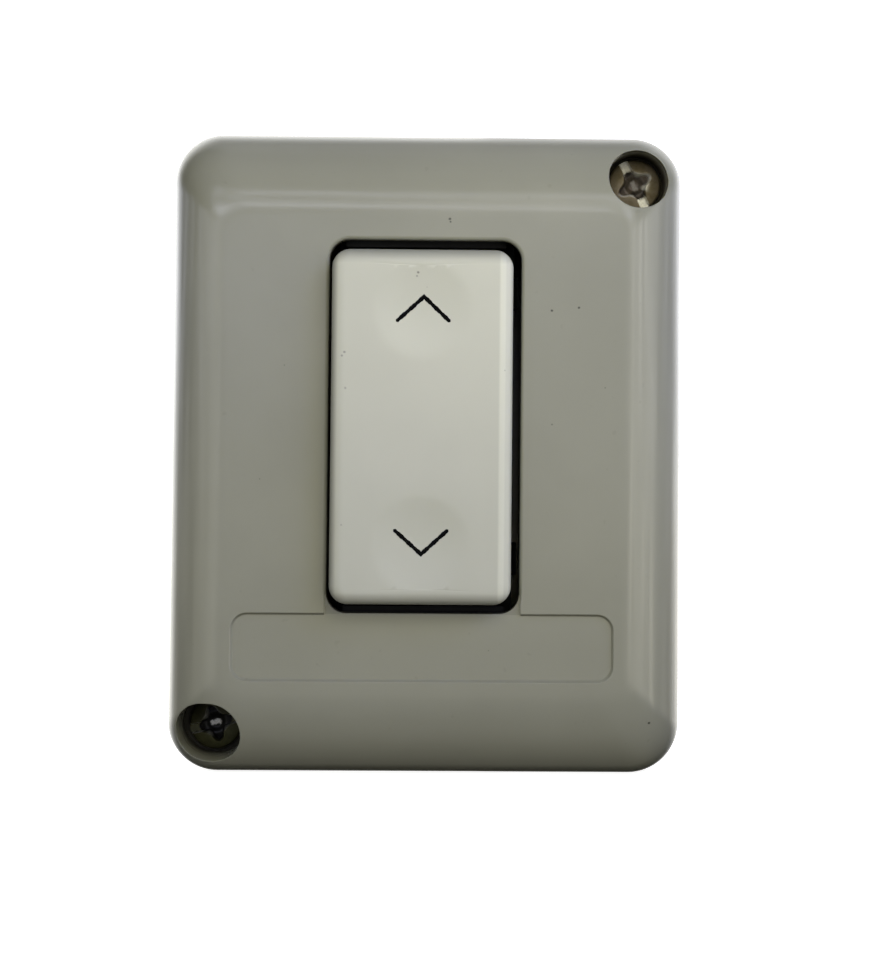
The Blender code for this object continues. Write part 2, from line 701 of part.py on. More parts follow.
def rocker_carrier(look):
    """Inner rocker: a plate under the key, cheeks with trunnions, and a pocket for spring and plunger."""
    half_width = CARRIER_WIDTH / 2
    plate_back = PIVOT + CARRIER_ABOVE_PIVOT
    carrier = block(
        "rocker_carrier",
        (-half_width, half_width),
        (plate_back, plate_back + CARRIER_PLATE),
        module_range(-CARRIER_HEIGHT / 2, CARRIER_HEIGHT / 2),
    )
    for x_range in mirrored(half_width - CHEEK_THICKNESS, half_width):
        cheek = block(
            f"cheek {x_range[0]:.4f}",
            x_range,
            (PIVOT - CHEEK_BELOW_PIVOT, plate_back + CARRIER_PLATE / 2),
            module_range(-CHEEK_WIDTH / 2, CHEEK_WIDTH / 2),
        )
        join(carrier, cheek)
    for x_range in mirrored(half_width - CHEEK_THICKNESS / 2, EAR_OUTSIDE - CLEARANCE / 2):
        join(carrier, lying_pin(f"trunnion {x_range[0]:.4f}", TRUNNION_RADIUS, x_range, PIVOT, 0.0))
    middle = (0.0, KEY_RISE)
    pocket_back = PIVOT - POCKET_BELOW_PIVOT
    pocket_end = PIVOT + POCKET_END_ABOVE_PIVOT
    tube_radius = POCKET_RADIUS + POCKET_WALL
    join(carrier, disc("pocket tube", tube_radius, pocket_back, plate_back + CARRIER_PLATE / 2, middle))
    cut(carrier, disc("pocket bore", POCKET_RADIUS, pocket_back - OVERCUT, pocket_end, middle))
    return dress(carrier, look)


def plunger(look):
    """Round-nosed pin that presses on the seesaw, with a spigot for the spring."""
    tip = SADDLE + CLEARANCE
    body_radius = POCKET_RADIUS - CLEARANCE
    profile = [(0.0, tip)]
    for step in range(1, DOME_STEPS + 1):
        turn = math.pi / 2 * step / DOME_STEPS
        profile.append((PLUNGER_TIP_RADIUS * math.sin(turn), tip + PLUNGER_TIP_RADIUS * (1 - math.cos(turn))))
    shoulder = PIVOT - PLUNGER_SHOULDER_BELOW_PIVOT
    profile += [
        (body_radius, tip + 2 * PLUNGER_TIP_RADIUS),
        (body_radius, shoulder),
        (SPIGOT_RADIUS, shoulder),
        (SPIGOT_RADIUS, shoulder + SPIGOT_LENGTH),
        (0.0, shoulder + SPIGOT_LENGTH),
    ]
    return dress(turned("plunger", profile, (0.0, KEY_RISE), SMALL_ROUND_STEPS), look, smooth=True)


def plunger_spring(look):
    """Compression spring between the plunger's shoulder and the end of the pocket."""
    start = PIVOT - PLUNGER_SHOULDER_BELOW_PIVOT + SPRING_WIRE_RADIUS + CLEARANCE
    end = PIVOT + POCKET_END_ABOVE_PIVOT - SPRING_WIRE_RADIUS - CLEARANCE
    count = SPRING_TURNS * SPRING_STEPS + 1
    curve = bpy.data.curves.new("plunger_spring", "CURVE")
    curve.dimensions = "3D"
    curve.bevel_depth = SPRING_WIRE_RADIUS
    curve.bevel_resolution = 1
    curve.use_fill_caps = True
    spline = curve.splines.new("POLY")
    spline.points.add(count - 1)
    for index, point in enumerate(spline.points):
        turn = math.tau * index / SPRING_STEPS
        depth = start + (end - start) * index / (count - 1)
        point.co = (SPRING_RADIUS * math.cos(turn), -depth, KEY_RISE + SPRING_RADIUS * math.sin(turn), 1.0)
    spring = bpy.data.objects.new("plunger_spring", curve)
    bpy.context.scene.collection.objects.link(spring)
    curve.materials.append(look)
    return spring


def module_frame(look):
    """Front half of the switch module: ears for the trunnions, catches for the cover, legs for the base."""
    half_width = MODULE_WIDTH / 2
    half_height = MODULE_HEIGHT / 2
    middle = (0.0, KEY_RISE)
    outline = rounded_rectangle(half_width, half_height, MODULE_RADIUS, middle, MODULE_CORNER_STEPS)
    frame = prism("module_frame", outline, FRAME_BACK, PLATE_TOP)
    cut(
        frame,
        block(
            "frame hollow",
            (-half_width + MODULE_WALL, half_width - MODULE_WALL),
            (FRAME_BACK - OVERCUT, PLATE_TOP - FRAME_PLATE),
            module_range(-half_height + MODULE_END_WALL, half_height - MODULE_END_WALL),
        ),
        block(
            "frame aperture",
            (-APERTURE_WIDTH / 2, APERTURE_WIDTH / 2),
            (FRAME_BACK, PLATE_TOP + OVERCUT),
            module_range(-APERTURE_HEIGHT / 2, APERTURE_HEIGHT / 2),
        ),
    )
    for low, high in mirrored(half_height - MODULE_END_WALL, half_height):
        outside = high if high > 0 else low
        end_wall_front = min(FACE - END_WALL_SUNK, ceiling_at(at_module(outside)) - CLEARANCE)
        join(
            frame,
            block(
                f"end wall {low:.4f}",
                (-half_width + MODULE_RADIUS, half_width - MODULE_RADIUS),
                (PLATE_TOP - FRAME_PLATE / 2, end_wall_front),
                module_range(low, high),
            ),
        )
    for side in (1, -1):
        join(frame, catch_wedge(f"catch {side}", side))
    for x_range in mirrored(EAR_INSIDE, EAR_OUTSIDE):
        join(
            frame,
            block(
                f"ear {x_range[0]:.4f}",
                x_range,
                (PLATE_TOP - FRAME_PLATE / 2, PIVOT + EAR_ABOVE_PIVOT),
                module_range(-EAR_WIDTH / 2, EAR_WIDTH / 2),
            ),
        )
    ear_span = (-EAR_OUTSIDE - OVERCUT, EAR_OUTSIDE + OVERCUT)
    cut(
        frame,
        lying_pin("trunnion bore", TRUNNION_RADIUS + PIN_PLAY, ear_span, PIVOT, 0.0),
        block(
            "snap slot",
            ear_span,
            (PIVOT, PIVOT + EAR_ABOVE_PIVOT + OVERCUT),
            module_range(-SNAP_SLOT_WIDTH / 2, SNAP_SLOT_WIDTH / 2),
        ),
    )
    pad_outside = OPENING_HALF_WIDTH - CLEARANCE
    pad_end = RAIL_LENGTH / 2 - PAD_FROM_RAIL_END
    for x_range in mirrored(half_width - OVERCUT, pad_outside):
        for low, high in mirrored(pad_end - PAD_LENGTH, pad_end):
            join(
                frame,
                block(
                    f"pad {x_range[0]:.4f} {low:.4f}",
                    x_range,
                    (PLATE_TOP - FRAME_PLATE - OVERCUT, PLATE_TOP - OVERCUT / 2),
                    module_range(low, high),
                ),
            )
    for side in (1, -1):
        for height in (LEG_FROM_MIDDLE, -LEG_FROM_MIDDLE):
            join(frame, leg(f"leg {side} {height:.4f}", side, height))
            cut(frame, leg_window(f"leg window {side} {height:.4f}", side, height))
    return dress(frame, look)


def catch_wedge(name, side):
    """Sloping catch on an end wall, which snaps into the cover's tower."""
    root = MODULE_HEIGHT / 2 - MODULE_END_WALL / 2
    reach = MODULE_HEIGHT / 2 + CATCH_REACH
    back = FACE - CATCH_SUNK
    outline = [(root, back), (reach, back), (reach, back + CATCH_LAND), (root, back + CATCH_HEIGHT)]
    corners = [(-CATCH_WIDTH / 2, -depth, at_module(side * height)) for height, depth in outline]
    return swept(name, corners, (CATCH_WIDTH, 0.0, 0.0))


def leg_x_range(side, inside, outside):
    return tuple(sorted((side * inside, side * outside)))


def leg(name, side, height):
    """One snap leg of the frame. Its root is a block inside the frame's wall."""
    outside = MODULE_WIDTH / 2
    x_range = leg_x_range(side, outside - LEG_THICKNESS, outside)
    heights = module_range(height - LEG_WIDTH / 2, height + LEG_WIDTH / 2)
    return block(name, x_range, (FRAME_BACK - LEG_LENGTH, FRAME_BACK + OVERCUT), heights)


def leg_window(name, side, height):
    outside = MODULE_WIDTH / 2
    back = FRAME_BACK - LEG_LENGTH + BARB_ABOVE_LEG_END
    half_width = BARB_WIDTH / 2 + CLEARANCE
    return block(
        name,
        leg_x_range(side, outside - LEG_THICKNESS - OVERCUT, outside + OVERCUT),
        (back - CLEARANCE, back + BARB_HEIGHT + CLEARANCE),
        module_range(height - half_width, height + half_width),
    )


def module_base(look):
    """Rear half of the switch module: a cup with partitions, ledges, and holes for wires and drivers."""
    half_width = MODULE_WIDTH / 2
    half_height = MODULE_HEIGHT / 2
    middle = (0.0, KEY_RISE)
    inner_half_width = half_width - MODULE_WALL
    outline = rounded_rectangle(half_width, half_height, MODULE_RADIUS, middle, MODULE_CORNER_STEPS)
    base = prism("module_base", outline, MODULE_BACK, BASE_FRONT)
    hollow = block(
        "base hollow",
        (-inner_half_width, inner_half_width),
        (FLOOR_TOP, BASE_FRONT + OVERCUT),
        module_range(-half_height + MODULE_END_WALL, half_height - MODULE_END_WALL),
    )
    across = (-half_width + MODULE_WALL / 2, half_width - MODULE_WALL / 2)
    partition_start = PARTITION_FROM_MIDDLE - PARTITION_THICKNESS / 2
    partition_depths = (MODULE_BACK, SHELF_BACK - CLEARANCE)
    for low, high in mirrored(partition_start, partition_start + PARTITION_THICKNESS):
        cut(hollow, block(f"partition {low:.4f}", across, partition_depths, module_range(low, high)))
    plate_room = CLAMP_PLATE_SIDE / 2 + CLEARANCE
    ledges = (
        (plate_room, PARTITION_FROM_MIDDLE),
        (PARTITION_FROM_MIDDLE, TERMINAL_PITCH - plate_room),
        (TERMINAL_PITCH + plate_room, half_height),
    )
    for ledge in ledges:
        for low, high in mirrored(*ledge):
            cut(hollow, block(f"ledge {low:.4f}", across, (MODULE_BACK, LEDGE_TOP), module_range(low, high)))
    cut(base, hollow)
    for place in (0.0, TERMINAL_PITCH, -TERMINAL_PITCH):
        cut(
            base,
            disc(
                f"driver hole {place:.4f}",
                DRIVER_HOLE_RADIUS,
                MODULE_BACK - OVERCUT,
                FLOOR_TOP + OVERCUT,
                (0.0, at_module(place)),
                SMALL_ROUND_STEPS,
            ),
            block(
                f"wire window {place:.4f}",
                (-half_width - OVERCUT, half_width + OVERCUT),
                (FOOT_BACK - WIRE_WINDOW_HEIGHT, FOOT_BACK),
                module_range(place - WIRE_WINDOW_WIDTH / 2, place + WIRE_WINDOW_WIDTH / 2),
            ),
        )
    for side in (1, -1):
        for height in (LEG_FROM_MIDDLE, -LEG_FROM_MIDDLE):
            pocket = leg_pocket(f"leg pocket {side} {height:.4f}", side, height)
            cut(pocket, leg_barb(f"barb {side} {height:.4f}", side, height))
            cut(base, pocket)
    return dress(base, look)


def leg_pocket(name, side, height):
    """Room in the base's side for a leg of the frame."""
    outside = MODULE_WIDTH / 2
    half_width = LEG_WIDTH / 2 + CLEARANCE
    return block(
        name,
        leg_x_range(side, outside - LEG_THICKNESS - CLEARANCE, outside + OVERCUT),
        (FRAME_BACK - LEG_LENGTH - CLEARANCE, BASE_FRONT + OVERCUT),
        module_range(height - half_width, height + half_width),
    )


def leg_barb(name, side, height):
    """What is left in the pocket: a barb that holds the leg's window."""
    outside = MODULE_WIDTH / 2
    back = FRAME_BACK - LEG_LENGTH + BARB_ABOVE_LEG_END
    return block(
        name,
        leg_x_range(side, outside - LEG_THICKNESS - 2 * CLEARANCE, outside - CLEARANCE),
        (back, back + BARB_HEIGHT),
        module_range(height - BARB_WIDTH / 2, height + BARB_WIDTH / 2),
    )


def contact_rocker(look):
    """Copper seesaw: two arms and a shallow valley in the middle that the plunger settles in."""
    middle = BLADE_THICKNESS / 2
    path = [
        (-BLADE_REACH, SADDLE - middle + SADDLE_DROP),
        (-SADDLE_REACH, SADDLE - middle + SADDLE_DROP),
        (0.0, SADDLE - middle),
        (SADDLE_REACH, SADDLE - middle + SADDLE_DROP),
        (BLADE_REACH, SADDLE - middle + SADDLE_DROP),
    ]
    blade = folded_strip("contact_rocker", raised(path), BLADE_WIDTH, BLADE_THICKNESS)
    return dress(blade, look)


def raised(path):
    """A path measured from the middle of the key, moved to its height on the object."""
    return [(at_module(height), depth) for height, depth in path]


def contact_disc(name, height, back, look):
    button = disc(
        name, CONTACT_RADIUS, back, back + CONTACT_THICKNESS, (0.0, at_module(height)), SMALL_ROUND_STEPS
    )
    return dress(button, look, smooth=True)


def common_terminal(look):
    """Folded strip from the middle clamp up to the fork that carries the seesaw."""
    foot = FOOT_BACK + STRIP_THICKNESS / 2
    bridge = FULCRUM_TIP - COMMON_BRIDGE_BELOW_TIP
    path = [
        (-COMMON_RISER_FROM_MIDDLE - STRIP_THICKNESS / 2, foot),
        (COMMON_RISER_FROM_MIDDLE, foot),
        (COMMON_RISER_FROM_MIDDLE, bridge),
        (0.0, bridge),
        (0.0, FULCRUM_TIP + HORN_HEIGHT),
    ]
    strip = folded_strip("common_terminal", raised(path), STRIP_WIDTH, STRIP_THICKNESS)
    notch_half_width = BLADE_WIDTH / 2 + CLEARANCE
    cut(
        strip,
        block(
            "fork notch",
            (-notch_half_width, notch_half_width),
            (FULCRUM_TIP, FULCRUM_TIP + HORN_HEIGHT + OVERCUT),
            module_range(-STRIP_THICKNESS - OVERCUT, STRIP_THICKNESS + OVERCUT),
        ),
        clamp_hole("common hole", 0.0),
    )
    return dress(strip, look)


def side_terminal(name, side, look):
    """Folded strip from an outer clamp up to the shelf that carries a fixed contact."""
    foot = FOOT_BACK + STRIP_THICKNESS / 2
    shelf = (SHELF_BACK + SHELF_FRONT) / 2
    path = [
        (TERMINAL_PITCH + FOOT_OVERHANG, foot),
        (TERMINAL_PITCH - RISER_FROM_SCREW, foot),
        (TERMINAL_PITCH - RISER_FROM_SCREW, shelf),
        (SHELF_INNER_END, shelf),
    ]
    path = [(side * height, depth) for height, depth in path]
    strip = folded_strip(name, raised(path), STRIP_WIDTH, STRIP_THICKNESS)
    cut(strip, clamp_hole(f"{name} hole", side * TERMINAL_PITCH))
    return dress(strip, look)


def clamp_hole(name, height):
    centre = (0.0, at_module(height))
    front = FOOT_BACK + STRIP_THICKNESS + OVERCUT
    return disc(name, SCREW_SHANK_RADIUS + CLEARANCE, FOOT_BACK - OVERCUT, front, centre, SMALL_ROUND_STEPS)


def clamp_plate(name, height, look):
    """Square plate that the clamp screw presses on the wires."""
    half = CLAMP_PLATE_SIDE / 2
    front = CLAMP_PLATE_BACK + CLAMP_PLATE_THICKNESS
    plate = block(name, (-half, half), (CLAMP_PLATE_BACK, front), module_range(height - half, height + half))
    centre = (0.0, at_module(height))
    hole_depths = (CLAMP_PLATE_BACK - OVERCUT, front + OVERCUT)
    cut(plate, disc(f"{name} hole", SCREW_SHANK_RADIUS + CLEARANCE, *hole_depths, centre, SMALL_ROUND_STEPS))
    return dress(plate, look)


def terminal_screw(name, height, look):
    """Clamp screw whose slotted head looks out of the back of the module."""
    head_front = CLAMP_HEAD_BACK + CLAMP_SCREW_HEAD_HEIGHT
    centre = (0.0, at_module(height))
    profile = [
        (0.0, CLAMP_HEAD_BACK),
        (CLAMP_SCREW_HEAD_RADIUS, CLAMP_HEAD_BACK),
        (CLAMP_SCREW_HEAD_RADIUS, head_front),
        (SCREW_SHANK_RADIUS, head_front),
        (SCREW_SHANK_RADIUS, head_front + CLAMP_SCREW_LENGTH),
        (0.0, head_front + CLAMP_SCREW_LENGTH),
    ]
    screw = turned(name, profile, centre, SMALL_ROUND_STEPS)
    half_slot = SCREW_SLOT_WIDTH / 2
    slot = block(
        f"{name} slot",
        (-CLAMP_SCREW_HEAD_RADIUS - OVERCUT, CLAMP_SCREW_HEAD_RADIUS + OVERCUT),
        (CLAMP_HEAD_BACK - OVERCUT, CLAMP_HEAD_BACK + CLAMP_SCREW_HEAD_HEIGHT / 2),
        module_range(height - half_slot, height + half_slot),
    )
    cut(screw, slot)
    return dress(screw, look, smooth=True)


def turn_about(name, depth, pieces):
    """An empty on a joint's axis, which carries the pieces that turn together."""
    axis = bpy.data.objects.new(name, None)
    axis.location = (0.0, -depth, KEY_RISE)
    bpy.context.scene.collection.objects.link(axis)
    for piece in pieces:
        piece.parent = axis
        piece.matrix_parent_inverse = Matrix.Translation(-axis.location)
    return axis


def main():
    for leftover in list(bpy.data.objects):
        bpy.data.objects.remove(leftover)

    grey = material("grey housing plastic", (0.42, 0.42, 0.38), 0.28)
    white = material("white key plastic", (0.72, 0.72, 0.66), 0.35)
    black = material("black mechanism plastic", (0.02, 0.02, 0.02), 0.5)
    cream = material("cream mechanism plastic", (0.62, 0.58, 0.48), 0.5)
    nickel = material("nickel plate", (0.62, 0.58, 0.52), 0.25, 1.0)
    steel = material("spring steel", (0.5, 0.5, 0.52), 0.3, 1.0)
    brass = material("brass", (0.75, 0.55, 0.25), 0.3, 1.0)
    copper = material("copper", (0.8, 0.42, 0.27), 0.3, 1.0)
    silver = material("contact silver", (0.85, 0.85, 0.83), 0.25, 1.0)

    back_box(grey)
    front_cover(grey)
    cover_screw("cover_screw_upper", WELLS["upper"], SLOT_ANGLE_UPPER, nickel)
    cover_screw("cover_screw_lower", WELLS["lower"], SLOT_ANGLE_LOWER, nickel)
    module_frame(black)
    module_base(cream)
    common_terminal(brass)
    for name, side in SIDES.items():
        side_terminal(f"{name}_terminal", side, brass)
        contact_disc(f"fixed_contact_{name}", side * CONTACT_FROM_MIDDLE, FIXED_CONTACT_BACK, silver)
    for name, height in (("common", 0.0), ("upper", TERMINAL_PITCH), ("lower", -TERMINAL_PITCH)):
        clamp_plate(f"clamp_plate_{name}", height, steel)
        terminal_screw(f"terminal_screw_{name}", height, steel)

    rocking = [rocker_key(white), rocker_carrier(cream), plunger(brass), plunger_spring(steel)]
    turn_about("rocker_axis", PIVOT, rocking)
    tipping = [contact_rocker(copper)]
    for name, side in SIDES.items():
        tipping.append(
            contact_disc(f"moving_contact_{name}", side * CONTACT_FROM_MIDDLE, MOVING_CONTACT_BACK, silver)
        )
    turn_about("contact_axis", FULCRUM, tipping)


main()
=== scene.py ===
import json
import math

import bmesh
import bpy
from mathutils import Matrix, Vector
from mathutils.bvhtree import BVHTree


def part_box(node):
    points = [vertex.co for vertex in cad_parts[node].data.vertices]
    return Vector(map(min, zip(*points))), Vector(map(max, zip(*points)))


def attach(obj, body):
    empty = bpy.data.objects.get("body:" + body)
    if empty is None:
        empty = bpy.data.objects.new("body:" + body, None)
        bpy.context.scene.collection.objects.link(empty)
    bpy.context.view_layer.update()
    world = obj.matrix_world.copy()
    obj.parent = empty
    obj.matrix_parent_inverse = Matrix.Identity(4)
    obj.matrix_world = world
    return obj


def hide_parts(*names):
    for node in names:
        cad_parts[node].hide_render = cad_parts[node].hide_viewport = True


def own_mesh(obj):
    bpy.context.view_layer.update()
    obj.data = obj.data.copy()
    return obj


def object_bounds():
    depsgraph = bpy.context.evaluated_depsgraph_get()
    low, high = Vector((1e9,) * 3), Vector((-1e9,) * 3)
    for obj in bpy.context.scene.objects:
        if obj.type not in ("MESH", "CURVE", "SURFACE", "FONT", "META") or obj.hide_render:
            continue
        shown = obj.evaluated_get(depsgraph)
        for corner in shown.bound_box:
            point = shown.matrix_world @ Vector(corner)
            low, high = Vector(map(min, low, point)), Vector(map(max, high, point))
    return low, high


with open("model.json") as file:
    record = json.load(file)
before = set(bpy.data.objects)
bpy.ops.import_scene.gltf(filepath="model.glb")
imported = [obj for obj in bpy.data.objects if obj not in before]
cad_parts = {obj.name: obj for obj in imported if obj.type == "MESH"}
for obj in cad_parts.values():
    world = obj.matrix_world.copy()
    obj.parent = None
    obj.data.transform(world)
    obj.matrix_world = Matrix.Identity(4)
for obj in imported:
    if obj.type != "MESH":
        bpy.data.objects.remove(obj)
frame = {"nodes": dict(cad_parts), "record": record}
cad_low, cad_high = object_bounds()

MM = 0.001

# How far cutters reach past a surface: plainly, by a hair, and as a share of a rounding
OVERCUT = 1.0 * MM
HAIR = 0.02 * MM
PAST_FACE = 1.01

# Sizes of the model, as in the CAD
CLEARANCE = 0.3 * MM
HALF_WIDTH = 33.0 * MM
HALF_HEIGHT = 41.25 * MM
CORNER_RADIUS = 6.5 * MM
FACE_CORNER_RADIUS = 3.0 * MM
LEAST_RADIUS = 0.6 * MM
BOX_DEPTH = 36.0 * MM
SKIRT_HEIGHT = 2.5 * MM
FACE = 50.0 * MM
WALL = 2.0 * MM
LIP = 0.85 * MM
LIP_END = 37.8 * MM
SIDE_ROLL = 8.2 * MM
END_ROLL = 11.5 * MM
WELL_X = 26.9 * MM
WELL_Z = 35.15 * MM
WELLS = {"upper": (WELL_X, WELL_Z), "lower": (-WELL_X, -WELL_Z)}
WELL_STRETCH = {"upper": 0.0, "lower": 0.35 * MM}
WELL_RADIUS = 3.9 * MM
WELL_WALL = 1.5 * MM
WELL_FLOOR = 37.7 * MM
SHANK_HOLE = 1.7 * MM
KEY_RISE = 3.5 * MM
KEY_OFFSET = -0.25 * MM
KEY_HALF_WIDTH = 11.2 * MM
KEY_HALF_HEIGHT = 21.9 * MM
KEY_RADIUS = 2.3 * MM
KEY_FACE = 54.0 * MM
KEY_BACK = 46.5 * MM
KEY_WALL = 1.3 * MM
KEY_CEILING = 52.3 * MM
EDGE_DEEP = 1.3 * MM
OPENING_HALF_WIDTH = 12.05 * MM
OPENING_HALF_HEIGHT = 23.35 * MM
OPENING_RADIUS = 2.5 * MM
SCREW_SEAT = 38.0 * MM
SCREW_TIP = 15.0 * MM
SCREW_POINT = 1.5 * MM
SHANK_RADIUS = 1.4 * MM
HEAD_RADIUS = 3.4 * MM
HEAD_HEIGHT = 2.4 * MM

# Camera, fitted to the photograph
CAMERA_PLACE = (7.4049 * MM, -290.0 * MM, 6.2637 * MM)
CAMERA_RIGHT = (0.9997861, -0.0189349, 0.0083202)
CAMERA_UP = (-0.0089129, -0.0314378, 0.9994660)
CAMERA_LENS = 78.156
CAMERA_SHIFT = (-0.08821, -0.15348)


def make_camera():
    data = bpy.data.cameras.new("camera")
    data.sensor_fit = "HORIZONTAL"
    data.sensor_width = 36.0
    data.lens = CAMERA_LENS
    data.shift_x, data.shift_y = CAMERA_SHIFT
    data.clip_start, data.clip_end = 0.01, 50.0
    camera = bpy.data.objects.new("camera", data)
    right, up = Vector(CAMERA_RIGHT).normalized(), Vector(CAMERA_UP).normalized()
    back = right.cross(up)
    turn = Matrix((right, up, back)).transposed().to_4x4()
    camera.matrix_world = Matrix.Translation(CAMERA_PLACE) @ turn
    bpy.context.scene.collection.objects.link(camera)
    bpy.context.scene.camera = camera


make_camera()


# Node helpers
class Nodes:
    """A material's node tree, with short calls for what is used often."""

    def __init__(self, name):
        self.material = bpy.data.materials.new(name)
        self.material.use_nodes = True
        self.tree = self.material.node_tree
        self.shader = self.tree.nodes["Principled BSDF"]
        self.place = self.add("ShaderNodeTexCoord").outputs["Object"]

    def add(self, kind, **settings):
        node = self.tree.nodes.new(kind)
        for key, value in settings.items():
            setattr(node, key, value)
        return node

    def feed(self, socket, value):
        if isinstance(value, bpy.types.NodeSocket):
            self.tree.links.new(value, socket)
        else:
            socket.default_value = value

    def noise(self, scale, detail=2.0, roughness=0.5, distortion=0.0, place=None):
        node = self.add("ShaderNodeTexNoise")
        self.feed(node.inputs["Vector"], place or self.place)
        node.inputs["Scale"].default_value = scale
        node.inputs["Detail"].default_value = detail
        node.inputs["Roughness"].default_value = roughness
        node.inputs["Distortion"].default_value = distortion
        return node.outputs["Fac"]

    def math(self, operation, *values, clamp=False):
        node = self.add("ShaderNodeMath", operation=operation, use_clamp=clamp)
        for socket, value in zip(node.inputs, values):
            self.feed(socket, value)
        return node.outputs[0]

    def product(self, first, *others):
        for other in others:
            first = self.math("MULTIPLY", first, other)
        return first

    def map_range(self, numbers, **settings):
        node = self.add("ShaderNodeMapRange", **settings)
        for name, number in zip(("Value", "From Min", "From Max", "To Min", "To Max"), numbers):
            self.feed(node.inputs[name], number)
        return node.outputs[0]

    def spread(self, value, low, high, to_low, to_high):
        """Maps low to high evenly onto to_low to to_high. What lies beyond them stays at their ends."""
        return self.map_range((value, low, high, to_low, to_high))

    def mix(self, factor, first, second):
        node = self.add("ShaderNodeMix", data_type="RGBA")
        self.feed(node.inputs["Factor"], factor)
        self.feed(node.inputs[6], (*first, 1.0) if isinstance(first, tuple) else first)
        self.feed(node.inputs[7], (*second, 1.0) if isinstance(second, tuple) else second)
        return node.outputs[2]

    def axes(self, place=None):
        node = self.add("ShaderNodeSeparateXYZ")
        self.feed(node.inputs[0], place or self.place)
        return node.outputs

    def vector_math(self, operation, first, second):
        node = self.add("ShaderNodeVectorMath", operation=operation)
        self.feed(node.inputs[0], first)
        self.feed(node.inputs[1], second)
        return node.outputs

    def distance(self, place, point):
        return self.vector_math("DISTANCE", place, point)["Value"]

    def stretched(self, scale):
        return self.vector_math("MULTIPLY", self.place, scale)[0]

    def scaled(self, colour, strength):
        node = self.add("ShaderNodeVectorMath", operation="SCALE")
        self.feed(node.inputs[0], colour)
        self.feed(node.inputs["Scale"], strength)
        return node.outputs[0]

    def sum_of(self, first, *others):
        for other in others:
            first = self.vector_math("ADD", first, other)[0]
        return first

    def bump(self, height, strength, distance, under=None):
        node = self.add("ShaderNodeBump")
        node.inputs["Strength"].default_value = strength
        node.inputs["Distance"].default_value = distance
        self.feed(node.inputs["Height"], height)
        if under:
            self.feed(node.inputs["Normal"], under)
        return node.outputs["Normal"]

    def finish(self, colour, roughness, normal, **constants):
        self.feed(self.shader.inputs["Base Color"], colour)
        self.feed(self.shader.inputs["Roughness"], roughness)
        self.feed(self.shader.inputs["Normal"], normal)
        for name, value in constants.items():
            self.shader.inputs[name.replace("_", " ")].default_value = value
        return self.material


# Height of the fine grain on every surface
GRAIN_HEIGHT = 0.004 * MM

# Depths from which the hollows of the cover turn matt and are painted dark as shade, and where they are
# wholly so
HOLLOW_START = {"upper": 44.5 * MM, "lower": 41.0 * MM}
HOLLOW_END = {"upper": 40.0 * MM, "lower": 38.7 * MM}
OPENING_HOLLOW_START = 49.6 * MM
OPENING_HOLLOW_END = 49.1 * MM
HOLLOW_MARGIN = 0.6 * MM
# Painted shade: the colour the deep hollows are darkened to
HOLLOW_SHADE_COLOUR = (0.06, 0.054, 0.032)
HOLLOW_ROUGHNESS = 0.6


def hollow_shade_mask(n):
    """1 deep in the screw wells and inside the opening of the cover, where the moulding is matt and painted
    dark as shade.
    """
    x, y, z = n.axes()
    flat = n.stretched((1.0, 0.0, 1.0))
    mask = 0.0
    for side, (well_x, well_z) in WELLS.items():
        away = n.distance(flat, (well_x, 0.0, well_z))
        reach = WELL_RADIUS + HOLLOW_MARGIN
        inside = n.spread(away, reach - 0.05 * MM, reach, 1.0, 0.0)
        deep = n.spread(y, -HOLLOW_START[side], -HOLLOW_END[side], 0.0, 1.0)
        mask = n.math("MAXIMUM", mask, n.product(inside, deep))
    beside = n.math("LESS_THAN", n.math("ABSOLUTE", x), OPENING_HALF_WIDTH + 0.1 * MM)
    from_middle = n.math("ABSOLUTE", n.math("SUBTRACT", z, KEY_RISE))
    above = n.math("LESS_THAN", from_middle, OPENING_HALF_HEIGHT + 0.1 * MM)
    deep = n.spread(y, -OPENING_HOLLOW_START, -OPENING_HOLLOW_END, 0.0, 1.0)
    mask = n.math("MAXIMUM", mask, n.product(beside, above, deep))
    return n.product(mask, n.math("LESS_THAN", y, -BOX_DEPTH - 0.2 * MM))


# Painted shade: brightness of the key's lower end and of the walls behind its rounded edges, where its top is
# 1
LOWER_END_SHADING = 0.89
WALL_SHADING = 0.92


def key_shade_and_highlight(n):
    """Painted shade and highlight on the key: darker along its rounded edges but for the right one,
    which has a painted highlight strip, and darker towards its lower end.

    The walls behind the rounded edges are painted less dark again.
    """
    x, y, z = n.axes()
    top, bottom = KEY_RISE + KEY_HALF_HEIGHT, KEY_RISE - KEY_HALF_HEIGHT
    left, right = KEY_OFFSET - KEY_HALF_WIDTH, KEY_OFFSET + KEY_HALF_WIDTH
    # Painted shade: darker towards the lower end, then along the top, bottom and left edges
    lit = n.spread(z, bottom, top, LOWER_END_SHADING, 1.0)
    for value, outer, inner, at_outer, at_inner in (
        (z, top, top - 1.8 * MM, 0.4, 1.0),
        (z, bottom, bottom + 1.5 * MM, 0.5, 1.0),
        (x, left, left + 0.85 * MM, 0.42, 1.0),
        (x, right, right - 0.35 * MM, 0.75, 1.0),
        # Painted highlight: a lighter strip along the right rounded edge, darker again at its outer part
        (x, right - 1.75 * MM, right - 1.5 * MM, 1.0, 1.2),
        (x, right - 0.8 * MM, right - 1.0 * MM, 0.9, 1.0),
    ):
        lit = n.product(lit, n.spread(value, outer, inner, at_outer, at_inner))
    edge_end = EDGE_DEEP - KEY_FACE
    return n.math("MAXIMUM", lit, n.spread(y, edge_end - 0.1 * MM, edge_end + 0.3 * MM, 0.0, WALL_SHADING))


MARK_COLOUR = (0.03, 0.03, 0.025)


